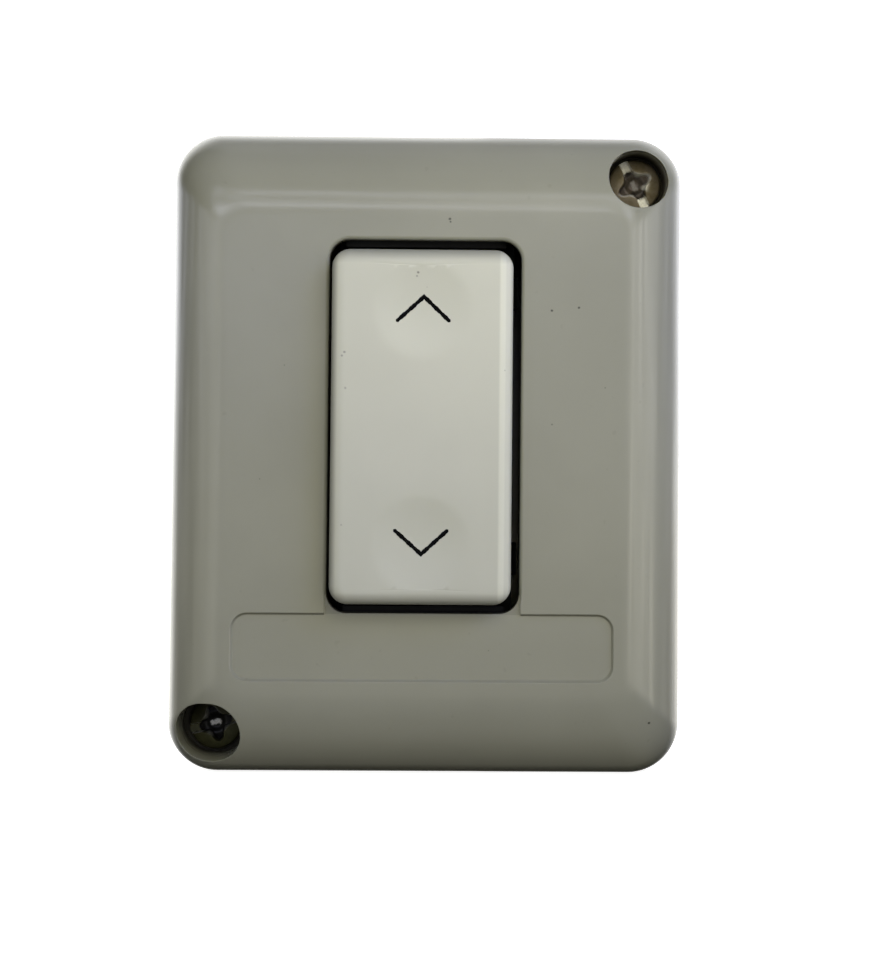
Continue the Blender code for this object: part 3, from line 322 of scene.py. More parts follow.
def plastic(name, colour, rough, marks=(), mottling=0.06, grain=0.5, wave=0.0, specks=0.0, specular=0.5,
            shaded_hollows=False, shade_key_edges=False):
    """Moulded plastic: faint mottling, handling marks in the gloss, mould grain, waviness and dark specks;
    where asked, painted shade in the cover's hollows, and painted shade and highlight along the key's edges.
    """
    n = Nodes(name)
    dark = tuple(part * (1 - mottling) for part in colour)
    light = tuple(min(1.0, part * (1 + mottling)) for part in colour)
    shade = n.mix(n.spread(n.noise(55.0, 3.0, 0.55), 0.35, 0.65, 0.0, 1.0), dark, light)
    if marks:
        flat, frayed = n.stretched((1.0, 0.0, 1.0)), n.noise(2600.0, 1.0)
    for x, z, size, strength in marks:
        radius = size * MM
        away = n.distance(flat, (x * MM, 0.0, z * MM))
        away = n.math("ADD", away, n.spread(frayed, 0.0, 1.0, -0.5 * radius, 0.5 * radius))
        shade = n.mix(n.spread(away, 0.4 * radius, radius, strength, 0.0), shade, MARK_COLOUR)
    # Painted shade and highlight along the key's edges and towards its lower end
    if shade_key_edges:
        shade = n.scaled(shade, key_shade_and_highlight(n))
    if specks:
        dots = n.spread(n.noise(900.0, 1.0, 0.4), 0.74, 0.80, 0.0, specks)
        shade = n.mix(dots, shade, tuple(part * 0.45 for part in colour))
    smudge = n.spread(n.noise(38.0, 4.0, 0.6, 0.6), 0.3, 0.7, rough * 0.8, rough * 1.25)
    # Painted shade: the deep hollows darkened towards near black, and made matt
    if shaded_hollows:
        mask = hollow_shade_mask(n)
        shade = n.mix(mask, shade, HOLLOW_SHADE_COLOUR)
        smudge = n.math("ADD", smudge, n.product(mask, HOLLOW_ROUGHNESS), clamp=True)
    normal = n.bump(n.noise(2400.0), grain, GRAIN_HEIGHT)
    if wave:
        waves = n.noise(1.0, 2.0, 0.45, place=n.stretched((60.0, 60.0, 150.0)))
        normal = n.bump(waves, wave, 0.1 * MM, normal)
    return n.finish(shade, smudge, normal, Specular_IOR_Level=specular)


def metal(name, colour, tarnish, rough, brushed=(1.0, 1.0, 1.0)):
    """Metal with patchy tarnish and fine drawn or rolled lines."""
    n = Nodes(name)
    patches = n.spread(n.noise(260.0, 4.0, 0.6), 0.42, 0.68, 0.0, 0.85)
    shade = n.mix(patches, colour, tarnish)
    lines = n.noise(1.0, 3.0, 0.6, place=n.stretched(tuple(2200.0 * part for part in brushed)))
    dulled = n.spread(patches, 0.0, 1.0, rough, rough + 0.14)
    roughness = n.math("ADD", dulled, n.spread(lines, 0.0, 1.0, -0.04, 0.05))
    return n.finish(shade, roughness, n.bump(lines, 0.4, GRAIN_HEIGHT), Metallic=1.0)


# Specks and scuffs seen in the photograph: x, z, radius in mm and strength
COVER_MARKS = (
    (2.98, 29.5, 0.22, 0.8), (3.05, 29.15, 0.16, 0.7), (15.85, 18.1, 0.2, 0.85), (19.22, 18.5, 0.2, 0.8),
    (15.97, 3.87, 0.15, 0.55), (28.5, -33.5, 0.22, 0.95), (22.6, 8.5, 0.12, 0.4), (-17.5, 11.0, 0.12, 0.3),
    (-20.4, -3.2, 0.1, 0.35), (8.3, -24.4, 0.12, 0.3),
)
KEY_MARKS = (
    (-0.8, 22.5, 0.2, 0.6), (-0.95, 22.05, 0.17, 0.5), (-9.75, 12.6, 0.22, 0.5), (-10.05, 12.15, 0.2, 0.4),
    (10.0, 10.5, 0.12, 0.35), (-9.6, 8.2, 0.2, 0.35), (0.3, 20.7, 0.1, 0.2), (-9.9, -8.6, 0.16, 0.25),
)

GREY = (0.318, 0.318, 0.255)
WHITE = (0.645, 0.65, 0.56)
BLACK = (0.006, 0.006, 0.006)
CREAM = (0.62, 0.58, 0.46)
looks = {
    "housing": plastic(
        "grey housing plastic", GREY, 0.15, COVER_MARKS, mottling=0.03, grain=0.25, wave=0.3, specks=0.1,
        specular=0.7, shaded_hollows=True,
    ),
    "key": plastic("white key plastic", WHITE, 0.36, KEY_MARKS, mottling=0.02, grain=0.6, shade_key_edges=True),
    "nickel": metal("nickel plate", (0.66, 0.61, 0.53), (0.36, 0.31, 0.24), 0.2),
    "module_black": plastic("black mechanism plastic", BLACK, 0.75, mottling=0.2, grain=0.8, specular=0.2),
    "module_cream": plastic("cream mechanism plastic", CREAM, 0.45, mottling=0.04, grain=0.8),
    "brass": metal("brass", (0.80, 0.58, 0.25), (0.52, 0.34, 0.13), 0.26, (1.0, 0.12, 1.0)),
    "copper": metal("copper", (0.84, 0.46, 0.30), (0.52, 0.25, 0.14), 0.25, (0.12, 1.0, 1.0)),
    "spring_steel": metal("zinc plate", (0.62, 0.62, 0.64), (0.42, 0.41, 0.38), 0.28),
    "contact_silver": metal("contact silver", (0.88, 0.87, 0.84), (0.6, 0.56, 0.48), 0.2),
}


def printed_ink():
    """Pad-printed black, thin in places."""
    n = Nodes("printed ink")
    thin = n.spread(n.noise(3800.0, 2.0), 0.58, 0.78, 0.0, 0.3)
    shade = n.mix(thin, (0.003, 0.003, 0.0035), (0.035, 0.035, 0.032))
    normal = n.bump(n.noise(5200.0), 0.4, GRAIN_HEIGHT)
    return n.finish(shade, n.spread(thin, 0.0, 0.35, 0.55, 0.7), normal, Specular_IOR_Level=0.04)


looks["ink"] = printed_ink()


# Shapes
def object_of(name, mesh_builder):
    bmesh.ops.recalc_face_normals(mesh_builder, faces=mesh_builder.faces)
    mesh = bpy.data.meshes.new(name)
    mesh_builder.to_mesh(mesh)
    mesh_builder.free()
    made = bpy.data.objects.new(name, mesh)
    bpy.context.scene.collection.objects.link(made)
    return made


def rounded_rectangle(half_width, half_height, radius, centre=(0.0, 0.0), steps=6):
    points = []
    for corner, (side_x, side_z) in enumerate(((1, 1), (-1, 1), (-1, -1), (1, -1))):
        for step in range(steps + 1):
            angle = math.pi / 2 * (corner + step / steps)
            points.append((
                centre[0] + side_x * (half_width - radius) + radius * math.cos(angle),
                centre[1] + side_z * (half_height - radius) + radius * math.sin(angle),
            ))
    return points


def loft(name, sections, caps=True):
    """A solid through rings of points (x, depth, z)."""
    bm = bmesh.new()
    rings = [[bm.verts.new((x, -depth, z)) for x, depth, z in ring] for ring in sections]
    for first, second in zip(rings, rings[1:]):
        for here in range(len(first)):
            after = (here + 1) % len(first)
            bm.faces.new((first[here], first[after], second[after], second[here]))
    if caps:
        bm.faces.new(rings[0])
        bm.faces.new(rings[-1])
    return object_of(name, bm)


def at(outline, depth):
    return [(x, depth, z) for x, z in outline]


def block(name, x_range, depths, z_range):
    (left, right), (low, high) = x_range, z_range
    outline = [(left, low), (right, low), (right, high), (left, high)]
    return loft(name, [at(outline, depth) for depth in depths])


def disc(name, radius, back, front, centre, steps=32):
    turns = [math.tau * step / steps for step in range(steps)]
    outline = [(centre[0] + radius * math.cos(turn), centre[1] + radius * math.sin(turn)) for turn in turns]
    return loft(name, [at(outline, depth) for depth in (back, front)])


def boolean(target, operation, *tools):
    """Applies each tool to target and removes it."""
    for tool in tools:
        modifier = target.modifiers.new(tool.name, "BOOLEAN")
        modifier.operation = operation
        modifier.solver = "EXACT"
        modifier.object = tool
        shape = bpy.data.meshes.new_from_object(target.evaluated_get(bpy.context.evaluated_depsgraph_get()))
        target.modifiers.clear()
        target.data = shape
        bpy.data.objects.remove(tool)


def cut(target, *tools):
    boolean(target, "DIFFERENCE", *tools)


def join(target, *tools):
    boolean(target, "UNION", *tools)


def mirrored(low, high):
    return ((low, high), (-high, -low))


def smooth(piece, degrees=32.0):
    piece.data.shade_smooth()
    piece.data.set_sharp_from_angle(angle=math.radians(degrees))
    return piece


def true_normals(piece, skin, reach=0.004 * MM, spread=25.0):
    """Where piece lies on skin, it takes the skin's smooth normals, so that cuts don't disturb them."""
    smooth(piece)
    source = skin.data
    tree = BVHTree.FromPolygons([v.co for v in source.vertices], [p.vertices[:] for p in source.polygons])
    source_normals = [v.normal.copy() for v in source.vertices]
    least = math.cos(math.radians(spread))
    mesh = piece.data
    normals = [Vector(n.vector) for n in mesh.corner_normals]
    for polygon in mesh.polygons:
        for loop in polygon.loop_indices:
            place = mesh.vertices[mesh.loops[loop].vertex_index].co
            spot, face_normal, index, gap = tree.find_nearest(place)
            if spot is None or gap > reach or face_normal.dot(polygon.normal) < least:
                continue
            total, found = 0.0, Vector()
            for vertex in source.polygons[index].vertices:
                weight = 1.0 / ((source.vertices[vertex].co - spot).length + 1e-7) ** 2
                found += weight * source_normals[vertex]
                total += weight
            normals[loop] = (found / total).normalized()
    mesh.normals_split_custom_set(normals)


def wear(piece, look, body, *nodes):
    """Finishes a piece: its material and slot, its body, and the CAD nodes it stands for."""
    piece.data.materials.clear()
    piece.data.materials.append(looks[look])
    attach(piece, body)
    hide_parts(*nodes)


# Cover
ROLL_STEPS = 36
COVER_CORNER_STEPS = 18
WELL_EDGE = 0.22 * MM
OPENING_BACK = 39.0 * MM
OPENING_EDGE = 0.5 * MM
LABEL_HALF_WIDTH = 23.8 * MM
LABEL_HALF_HEIGHT = 4.2 * MM
LABEL_RADIUS = 2.0 * MM
LABEL_DEPTH = 0.5 * MM
LABEL_EDGE = 0.14 * MM
LABEL_SLOPE = 0.22 * MM
TAB_HALF_WIDTH = 12.25 * MM

# Rails beside the opening, and above and below it the towers with windows that the module snaps into
RAIL_HALF_HEIGHT = 20.0 * MM
RAIL_THICKNESS = 1.5 * MM
RAIL_BACK = 40.0 * MM
TOWER_SPAN = (24.3 * MM, 26.1 * MM)
TOWER_HALF_WIDTH = 6.0 * MM
TOWER_BACK = 33.5 * MM
WINDOW_HALF_WIDTH = 3.5 * MM
WINDOW_DEPTHS = (37.7 * MM, 41.1 * MM)


def roll_outline(share, wall):
    radius = CORNER_RADIUS + (FACE_CORNER_RADIUS - CORNER_RADIUS) * share - wall
    return (
        HALF_WIDTH - SIDE_ROLL * share - wall,
        HALF_HEIGHT - END_ROLL * share - wall,
        max(radius, LEAST_RADIUS),
    )


def dome_sections(wall, roll_steps, corner_steps):
    sections = []
    for step in range(roll_steps + 1):
        angle = math.pi / 2 * step / roll_steps
        depth = BOX_DEPTH + SKIRT_HEIGHT + (FACE - BOX_DEPTH - SKIRT_HEIGHT - wall) * math.sin(angle)
        outline = rounded_rectangle(*roll_outline(1 - math.cos(angle), wall), steps=corner_steps)
        sections.append(at(outline, depth))
    return sections


def dome_depth(x, z):
    """Depth of the cover's outer surface over a point of the front plane."""

    def outside(share):
        half_width, half_height, radius = roll_outline(share, 0.0)
        over_x, over_z = abs(x) - half_width + radius, abs(z) - half_height + radius
        if over_x > 0 and over_z > 0:
            return math.hypot(over_x, over_z) - radius
        return max(over_x, over_z) - radius

    if outside(1.0) <= 0:
        return FACE
    low, high = 0.0, 1.0
    for _ in range(40):
        middle = (low + high) / 2
        low, high = (middle, high) if outside(middle) <= 0 else (low, middle)
    return BOX_DEPTH + SKIRT_HEIGHT + (FACE - BOX_DEPTH - SKIRT_HEIGHT) * math.sin(math.acos(1 - low))


def well_ring(side, growth, steps=72):
    """Outline of a screw well: round, or a little longer than high."""
    points = []
    for step in range(steps):
        turn = math.tau * (step + 0.5) / steps
        stretch = math.copysign(WELL_STRETCH[side], math.cos(turn))
        points.append((
            WELLS[side][0] + stretch + (WELL_RADIUS + growth) * math.cos(turn),
            WELLS[side][1] + (WELL_RADIUS + growth) * math.sin(turn),
        ))
    return points


def well_cutter(side, edge, edge_steps=5):
    """The bore of a screw well, whose mouth is rounded off into the domed surface."""
    rings = [at(well_ring(side, 0.0), WELL_FLOOR)]
    mouth = [[] for _ in range(edge_steps + 1)]
    top = []
    for inner, outer in zip(well_ring(side, 0.0), well_ring(side, edge)):
        corner, end = dome_depth(*inner), dome_depth(*outer) + HAIR
        for step in range(edge_steps + 1):
            t = step / edge_steps
            depth = (1 - t) ** 2 * (corner - edge) + 2 * t * (1 - t) * corner + t**2 * end
            share = t**2
            mouth[step].append((
                inner[0] + (outer[0] - inner[0]) * share, depth, inner[1] + (outer[1] - inner[1]) * share,
            ))
        top.append((outer[0], KEY_FACE, outer[1]))
    return loft(f"well {side}", rings + mouth + [top])


def flared(name, half_width, half_height, radius, middle, floor, edge, slope=0.0, steps=10, edge_steps=5):
    """A cutter through the flat face whose mouth is rounded off. slope narrows it towards its floor."""

    def outline(growth):
        return rounded_rectangle(half_width + growth, half_height + growth, radius + growth, middle, steps)

    sections = [at(outline(-slope), floor)]
    for step in range(edge_steps + 1):
        turn = math.pi / 2 * step / edge_steps
        depth = FACE - edge + edge * math.sin(turn) * PAST_FACE
        sections.append(at(outline(edge * (1 - math.cos(turn))), depth))
    sections.append(at(outline(edge), FACE + OVERCUT))
    return loft(name, sections)


def make_cover():
    rim = rounded_rectangle(HALF_WIDTH, HALF_HEIGHT, CORNER_RADIUS, steps=COVER_CORNER_STEPS)
    sections = [at(rim, BOX_DEPTH)] + dome_sections(0.0, ROLL_STEPS, COVER_CORNER_STEPS)
    skin = loft("skin", sections, caps=False)
    front = bmesh.new()
    front.from_mesh(skin.data)
    front.faces.new(list(front.verts)[-len(sections[-1]):])
    bmesh.ops.recalc_face_normals(front, faces=front.faces)
    if sum(face.normal.y * face.calc_area() for face in front.faces) > 0:
        bmesh.ops.reverse_faces(front, faces=front.faces)
    front.to_mesh(skin.data)
    front.free()

    cover = loft("cover_shell", sections)
    core = loft("core", [
        at(rounded_rectangle(HALF_WIDTH - inset, HALF_HEIGHT - inset, CORNER_RADIUS - inset), depth)
        for inset, depth in ((LIP, BOX_DEPTH - OVERCUT), (LIP, LIP_END), (WALL, LIP_END))
    ] + dome_sections(WALL, 8, 6))
    rails = [
        block("rail", x_range, (RAIL_BACK, FACE), (KEY_RISE - RAIL_HALF_HEIGHT, KEY_RISE + RAIL_HALF_HEIGHT))
        for x_range in mirrored(OPENING_HALF_WIDTH - CLEARANCE, OPENING_HALF_WIDTH + RAIL_THICKNESS)
    ]
    tubes = [
        loft("tube", [at(well_ring(side, WELL_WALL), depth) for depth in (BOX_DEPTH, FACE)]) for side in WELLS
    ]
    cut(core, *rails, *tubes)
    cut(cover, core)
    for low, high in mirrored(*TOWER_SPAN):
        low, high = KEY_RISE + low, KEY_RISE + high
        width = (-TOWER_HALF_WIDTH, TOWER_HALF_WIDTH)
        tower = block("tower", width, (TOWER_BACK, FACE - WALL / 2), (low, high))
        width = (-WINDOW_HALF_WIDTH, WINDOW_HALF_WIDTH)
        cut(tower, block("window", width, WINDOW_DEPTHS, (low - OVERCUT, high + OVERCUT)))
        join(cover, tower)
    cut(cover, flared(
        "opening", OPENING_HALF_WIDTH, OPENING_HALF_HEIGHT, OPENING_RADIUS, (0.0, KEY_RISE), OPENING_BACK,
        OPENING_EDGE,
    ))
    opening_foot = KEY_RISE - OPENING_HALF_HEIGHT
    label_middle = (0.0, opening_foot - LABEL_HALF_HEIGHT)
    label_floor = FACE - LABEL_DEPTH
    cut(cover, flared(
        "label", LABEL_HALF_WIDTH, LABEL_HALF_HEIGHT, LABEL_RADIUS, label_middle, label_floor, LABEL_EDGE,
        LABEL_SLOPE,
    ))
    width = (-TAB_HALF_WIDTH, TAB_HALF_WIDTH)
    height = (label_middle[1], opening_foot + OPENING_RADIUS)
    cut(cover, block("tab", width, (label_floor, FACE + OVERCUT), height))
    for side, well in WELLS.items():
        cut(cover, well_cutter(side, WELL_EDGE))
        cut(cover, disc("shank hole", SHANK_HOLE, BOX_DEPTH - OVERCUT, KEY_FACE, well))
    true_normals(cover, skin)
    bpy.data.objects.remove(skin)
    wear(cover, "housing", "housing", "front_cover")


# Key
EDGE_ACROSS = 1.7 * MM
DISH_RADIUS = 6.05 * MM
DISH_DEPTH = 0.5 * MM
DISH_FROM_MIDDLE = 14.5 * MM
DISH_SPACING = 0.45 * MM
KEY_LEAST_RADIUS = 0.25 * MM
KEY_STEPS = 14

# The key's legs and ribs: their span up from its middle, half width, and depth where they end
LEG = ((14.3 * MM, 15.6 * MM), 4.0 * MM, 47.2 * MM)
RIB = ((11.4 * MM, 12.7 * MM), 7.65 * MM, 51.1 * MM)


def dish_fall(x, z):
    """How far the key's face dips at a point, with no step at the rim of a dish."""
    fall = 0.0
    for side in (1, -1):
        away = math.hypot(x - KEY_OFFSET, z - KEY_RISE - side * DISH_FROM_MIDDLE) / DISH_RADIUS
        if away < 1.0:
            fall += DISH_DEPTH * (1 - away**2) ** 1.15
    return fall


def make_key():
    middle = (KEY_OFFSET, KEY_RISE)

    def outline(inset):
        radius = max(KEY_RADIUS - inset, KEY_LEAST_RADIUS)
        return rounded_rectangle(KEY_HALF_WIDTH - inset, KEY_HALF_HEIGHT - inset, radius, middle, KEY_STEPS)

    sections = [at(outline(0.0), KEY_BACK)]
    for step in range(KEY_STEPS + 1):
        turn = math.pi / 2 * step / KEY_STEPS
        depth = KEY_FACE - EDGE_DEEP * (1 - math.sin(turn))
        sections.append(at(outline(EDGE_ACROSS * (1 - math.cos(turn))), depth))
    key = loft("key_shell", sections)
    close_face(key)
    inside = (KEY_HALF_WIDTH - KEY_WALL, KEY_HALF_HEIGHT - KEY_WALL, KEY_RADIUS - KEY_WALL)
    cut(key, loft("hollow", [
        at(rounded_rectangle(*inside, middle), depth) for depth in (KEY_BACK - OVERCUT, KEY_CEILING)
    ]))
    for name, (span, half_width, back) in (("leg", LEG), ("rib", RIB)):
        for low, high in mirrored(*span):
            depths = (back, KEY_CEILING + OVERCUT / 2)
            join(key, block(name, (-half_width, half_width), depths, (KEY_RISE + low, KEY_RISE + high)))
    smooth(key, 40.0)
    wear(key, "key", "rocker", "rocker_key")


def close_face(key):
    """Puts a fine mesh that dips into the two finger dishes in place of the key's flat front."""
    bm = bmesh.new()
    bm.from_mesh(key.data)
    front = [face for face in bm.faces if face.normal.y < -0.999 and len(face.verts) > 4]
    bmesh.ops.delete(bm, geom=front, context="FACES_ONLY")
    flat = KEY_HALF_WIDTH - EDGE_ACROSS - 0.3 * MM, KEY_HALF_HEIGHT - EDGE_ACROSS - 0.3 * MM
    columns, rows = int(2 * flat[0] / DISH_SPACING), int(2 * flat[1] / DISH_SPACING)
    grid = []
    for row in range(rows + 1):
        line = []
        for column in range(columns + 1):
            x = KEY_OFFSET - flat[0] + 2 * flat[0] * column / columns
            z = KEY_RISE - flat[1] + 2 * flat[1] * row / rows
            line.append(bm.verts.new((x, -(KEY_FACE - dish_fall(x, z)), z)))
        grid.append(line)
    for low, high in zip(grid, grid[1:]):
        for column in range(columns):
            bm.faces.new((low[column], low[column + 1], high[column + 1], high[column]))
    open_edges = [edge for edge in bm.edges if len(edge.link_faces) == 1]
    bmesh.ops.triangle_fill(bm, edges=open_edges, use_beauty=True, normal=(0.0, -1.0, 0.0))
    bmesh.ops.recalc_face_normals(bm, faces=bm.faces)
    bm.to_mesh(key.data)
    bm.free()


# Screws
HEAD_CROWN = 0.9 * MM
HEAD_EDGE = 0.35 * MM
SLOT_HALF_WIDTH = 0.55 * MM
SLOT_FLOOR = 1.15 * MM
LOBE_REACH = 2.25 * MM
WAIST_REACH = 1.38 * MM
RECESS_RIM = 0.2 * MM
LOBE_DEPTH = 1.15 * MM
RECESS_DEPTH = 1.6 * MM
THREAD_PITCH = 1.0 * MM
THREAD_DEPTH = 0.28 * MM
THREAD_BACK = 4.0 * MM
HEAD_RINGS = 66
HEAD_SEGMENTS = 132
THREAD_ROWS = 170
THREAD_SEGMENTS = 33
THREAD_FADE_ROWS = 8
HEAD_CHAMFER = 0.12 * MM

# The head's height is read just inside its rim
JUST_INSIDE = 0.9999

# Angles of the slot and of the cross in degrees
SCREW_TURNS = {"upper": (-63.0, 32.0), "lower": (15.0, -74.0)}

# Painted highlights along stretches of the recess's rim: middle and half length in degrees, brightness, and
# width in mm
RIM_GLINTS = {
    "upper": ((52.0, 48.0, 1.0, 0.17), (-10.0, 16.0, 1.0, 0.36), (243.0, 30.0, 0.9, 0.15)),
    "lower": (
        (139.0, 20.0, 1.0, 0.15), (84.0, 16.0, 0.5, 0.2), (243.0, 16.0, 0.5, 0.12), (-20.0, 14.0, 0.6, 0.13),
    ),
}

# Plate, tarnish, recess (darker; near black in the lower screw as painted shade), and brightness of the
# slot's worn ends, of the rims' painted highlights and of the painted glint in the floor's middle
SCREW_LOOKS = {
    "upper": ((0.36, 0.30, 0.21), (0.19, 0.155, 0.085), (0.12, 0.098, 0.075), 1.0, 1.0, 0.15),
    "lower": ((0.085, 0.085, 0.035), (0.045, 0.045, 0.018), (0.004, 0.004, 0.003), 0.0, 0.6, 1.0),
}
# Colour of the slot ends' wear and of the painted highlights and glint
WEAR_AND_GLINT_COLOUR = (0.93, 0.92, 0.86)
# How far outside the recess's outline the rim's painted highlights lie, and how softly their stretches end in
# degrees
GLINT_OUTSIDE = 0.03 * MM
GLINT_FADE = 8.0


def step_down(value, edge, soft):
    """1 below edge, 0 above it, smooth between."""
    t = min(1.0, max(0.0, (value - edge + soft) / (2 * soft)))
    return 1.0 - t * t * (3 - 2 * t)


def head_height(x, z, slot_angle, cross_angle):
    """Height of the screw's head over its seat, with its slot and its cross recess."""
    away = math.hypot(x, z)
    dome = HEAD_HEIGHT - HEAD_CROWN * (away / HEAD_RADIUS) ** 2
    over = max(0.0, away - (HEAD_RADIUS - HEAD_EDGE)) / HEAD_EDGE
    dome -= HEAD_EDGE * (1 - math.sqrt(max(0.0, 1 - over**2)))
    across = abs(-x * math.sin(slot_angle) + z * math.cos(slot_angle))
    slot = step_down(across, SLOT_HALF_WIDTH, 0.05 * MM)
    height = dome - (dome - min(dome, SLOT_FLOOR)) * slot
    reach = recess_reach(x, z, cross_angle)
    depth = LOBE_DEPTH + (RECESS_DEPTH - LOBE_DEPTH) * step_down(away, 1.0 * MM, 0.5 * MM)
    return min(height, dome - depth * step_down(away, reach, RECESS_RIM))


def recess_reach(x, z, cross_angle):
    """Radius of the recess's lobed outline in the direction of a point."""
    lobed = (1 + math.cos(4 * (math.atan2(z, x) - cross_angle))) / 2
    return WAIST_REACH + (LOBE_REACH - WAIST_REACH) * lobed**1.5


def rim_glint(side, turn, over):
    """How bright the painted highlight on the recess's rim is in a direction, at a distance from the recess's
    outline.
    """
    brightness = 0.0
    for middle, reach, strength, width in RIM_GLINTS[side]:
        across = math.exp(-((over - GLINT_OUTSIDE) / (width * MM)) ** 2)
        along = step_down(abs((math.degrees(turn) - middle + 180) % 360 - 180), reach, GLINT_FADE)
        brightness = max(brightness, strength * across * along)
    return brightness


def screw_loops(vertex, slot_angle, cross_angle):
    """Rings of the screw from its crown over its rim and its shank to its point."""
    turns = [math.tau * segment / HEAD_SEGMENTS for segment in range(HEAD_SEGMENTS)]
    loops = []
    for ring in range(1, HEAD_RINGS + 1):
        radius = HEAD_RADIUS * ring / HEAD_RINGS
        line = []
        for turn in turns:
            x, z = radius * math.cos(turn), radius * math.sin(turn)
            height = head_height(x * JUST_INSIDE, z * JUST_INSIDE, slot_angle, cross_angle)
            line.append(vertex(x, SCREW_SEAT + height, z))
        loops.append(line)
    for radius, depth in (
        (HEAD_RADIUS, SCREW_SEAT + HEAD_CHAMFER),
        (HEAD_RADIUS - HEAD_CHAMFER, SCREW_SEAT),
        (SHANK_RADIUS + HEAD_CHAMFER, SCREW_SEAT),
        (SHANK_RADIUS - HAIR, SCREW_SEAT - 0.15 * MM),
        (SHANK_RADIUS - THREAD_DEPTH, SCREW_SEAT - THREAD_BACK),
    ):
        loops.append([vertex(radius * math.cos(turn), depth, radius * math.sin(turn)) for turn in turns])
    start = SCREW_SEAT - THREAD_BACK
    for row in range(1, THREAD_ROWS + 1):
        depth = start - (start - SCREW_TIP - 0.1 * MM) * row / THREAD_ROWS
        taper = min(1.0, (depth - SCREW_TIP) / SCREW_POINT)
        fade = min(1.0, row / THREAD_FADE_ROWS)
        line = []
        for segment in range(THREAD_SEGMENTS):
            turn = math.tau * segment / THREAD_SEGMENTS
            phase = (depth / THREAD_PITCH + turn / math.tau) % 1.0
            crest = max(0.0, 1.0 - abs(phase - 0.5) * 3.2) * THREAD_DEPTH * fade
            radius = (SHANK_RADIUS - THREAD_DEPTH + crest) * taper
            line.append(vertex(radius * math.cos(turn), depth, radius * math.sin(turn)))
        loops.append(line)
    return loops


def make_screw(side):
    well = WELLS[side]
    slot_angle, cross_angle = (math.radians(angle) for angle in SCREW_TURNS[side])
    bm = bmesh.new()

    def vertex(x, depth, z):
        return bm.verts.new((well[0] + x, -depth, well[1] + z))

    middle = vertex(0.0, SCREW_SEAT + head_height(0.0, 0.0, slot_angle, cross_angle), 0.0)
    loops = screw_loops(vertex, slot_angle, cross_angle)
    tip = vertex(0.0, SCREW_TIP, 0.0)
    for here in range(HEAD_SEGMENTS):
        bm.faces.new((middle, loops[0][here], loops[0][(here + 1) % HEAD_SEGMENTS]))
    for first, second in zip(loops, loops[1:]):
        ratio = len(first) // len(second)
        for here in range(len(second)):
            after = (here + 1) % len(second)
            wide = [first[(here * ratio + part) % len(first)] for part in range(ratio + 1)]
            bm.faces.new((*wide, second[after], second[here]))
    for here in range(THREAD_SEGMENTS):
        bm.faces.new((loops[-1][here], loops[-1][(here + 1) % THREAD_SEGMENTS], tip))
    screw = smooth(object_of(f"screw_{side}", bm), 40.0)
    # pit marks the cross recess for its darker colour, rim the painted highlights along its rim
    pit = screw.data.attributes.new("pit", "FLOAT", "POINT")
    rim = screw.data.attributes.new("rim", "FLOAT", "POINT")
    for index, point in enumerate(screw.data.vertices):
        if -point.co.y < SCREW_SEAT + 0.2 * MM:
            continue
        x, z = point.co.x - well[0], point.co.z - well[1]
        over = math.hypot(x, z) - recess_reach(x, z, cross_angle)
        pit.data[index].value = step_down(over, 0.0, 0.16 * MM)
        rim.data[index].value = rim_glint(side, math.atan2(z, x), over)
    wear(screw, "nickel", "housing", f"cover_screw_{side}")
    screw.data.materials[0] = worn_glinting_screw_metal(f"worn glinting nickel {side}", well, slot_angle, *SCREW_LOOKS[side])


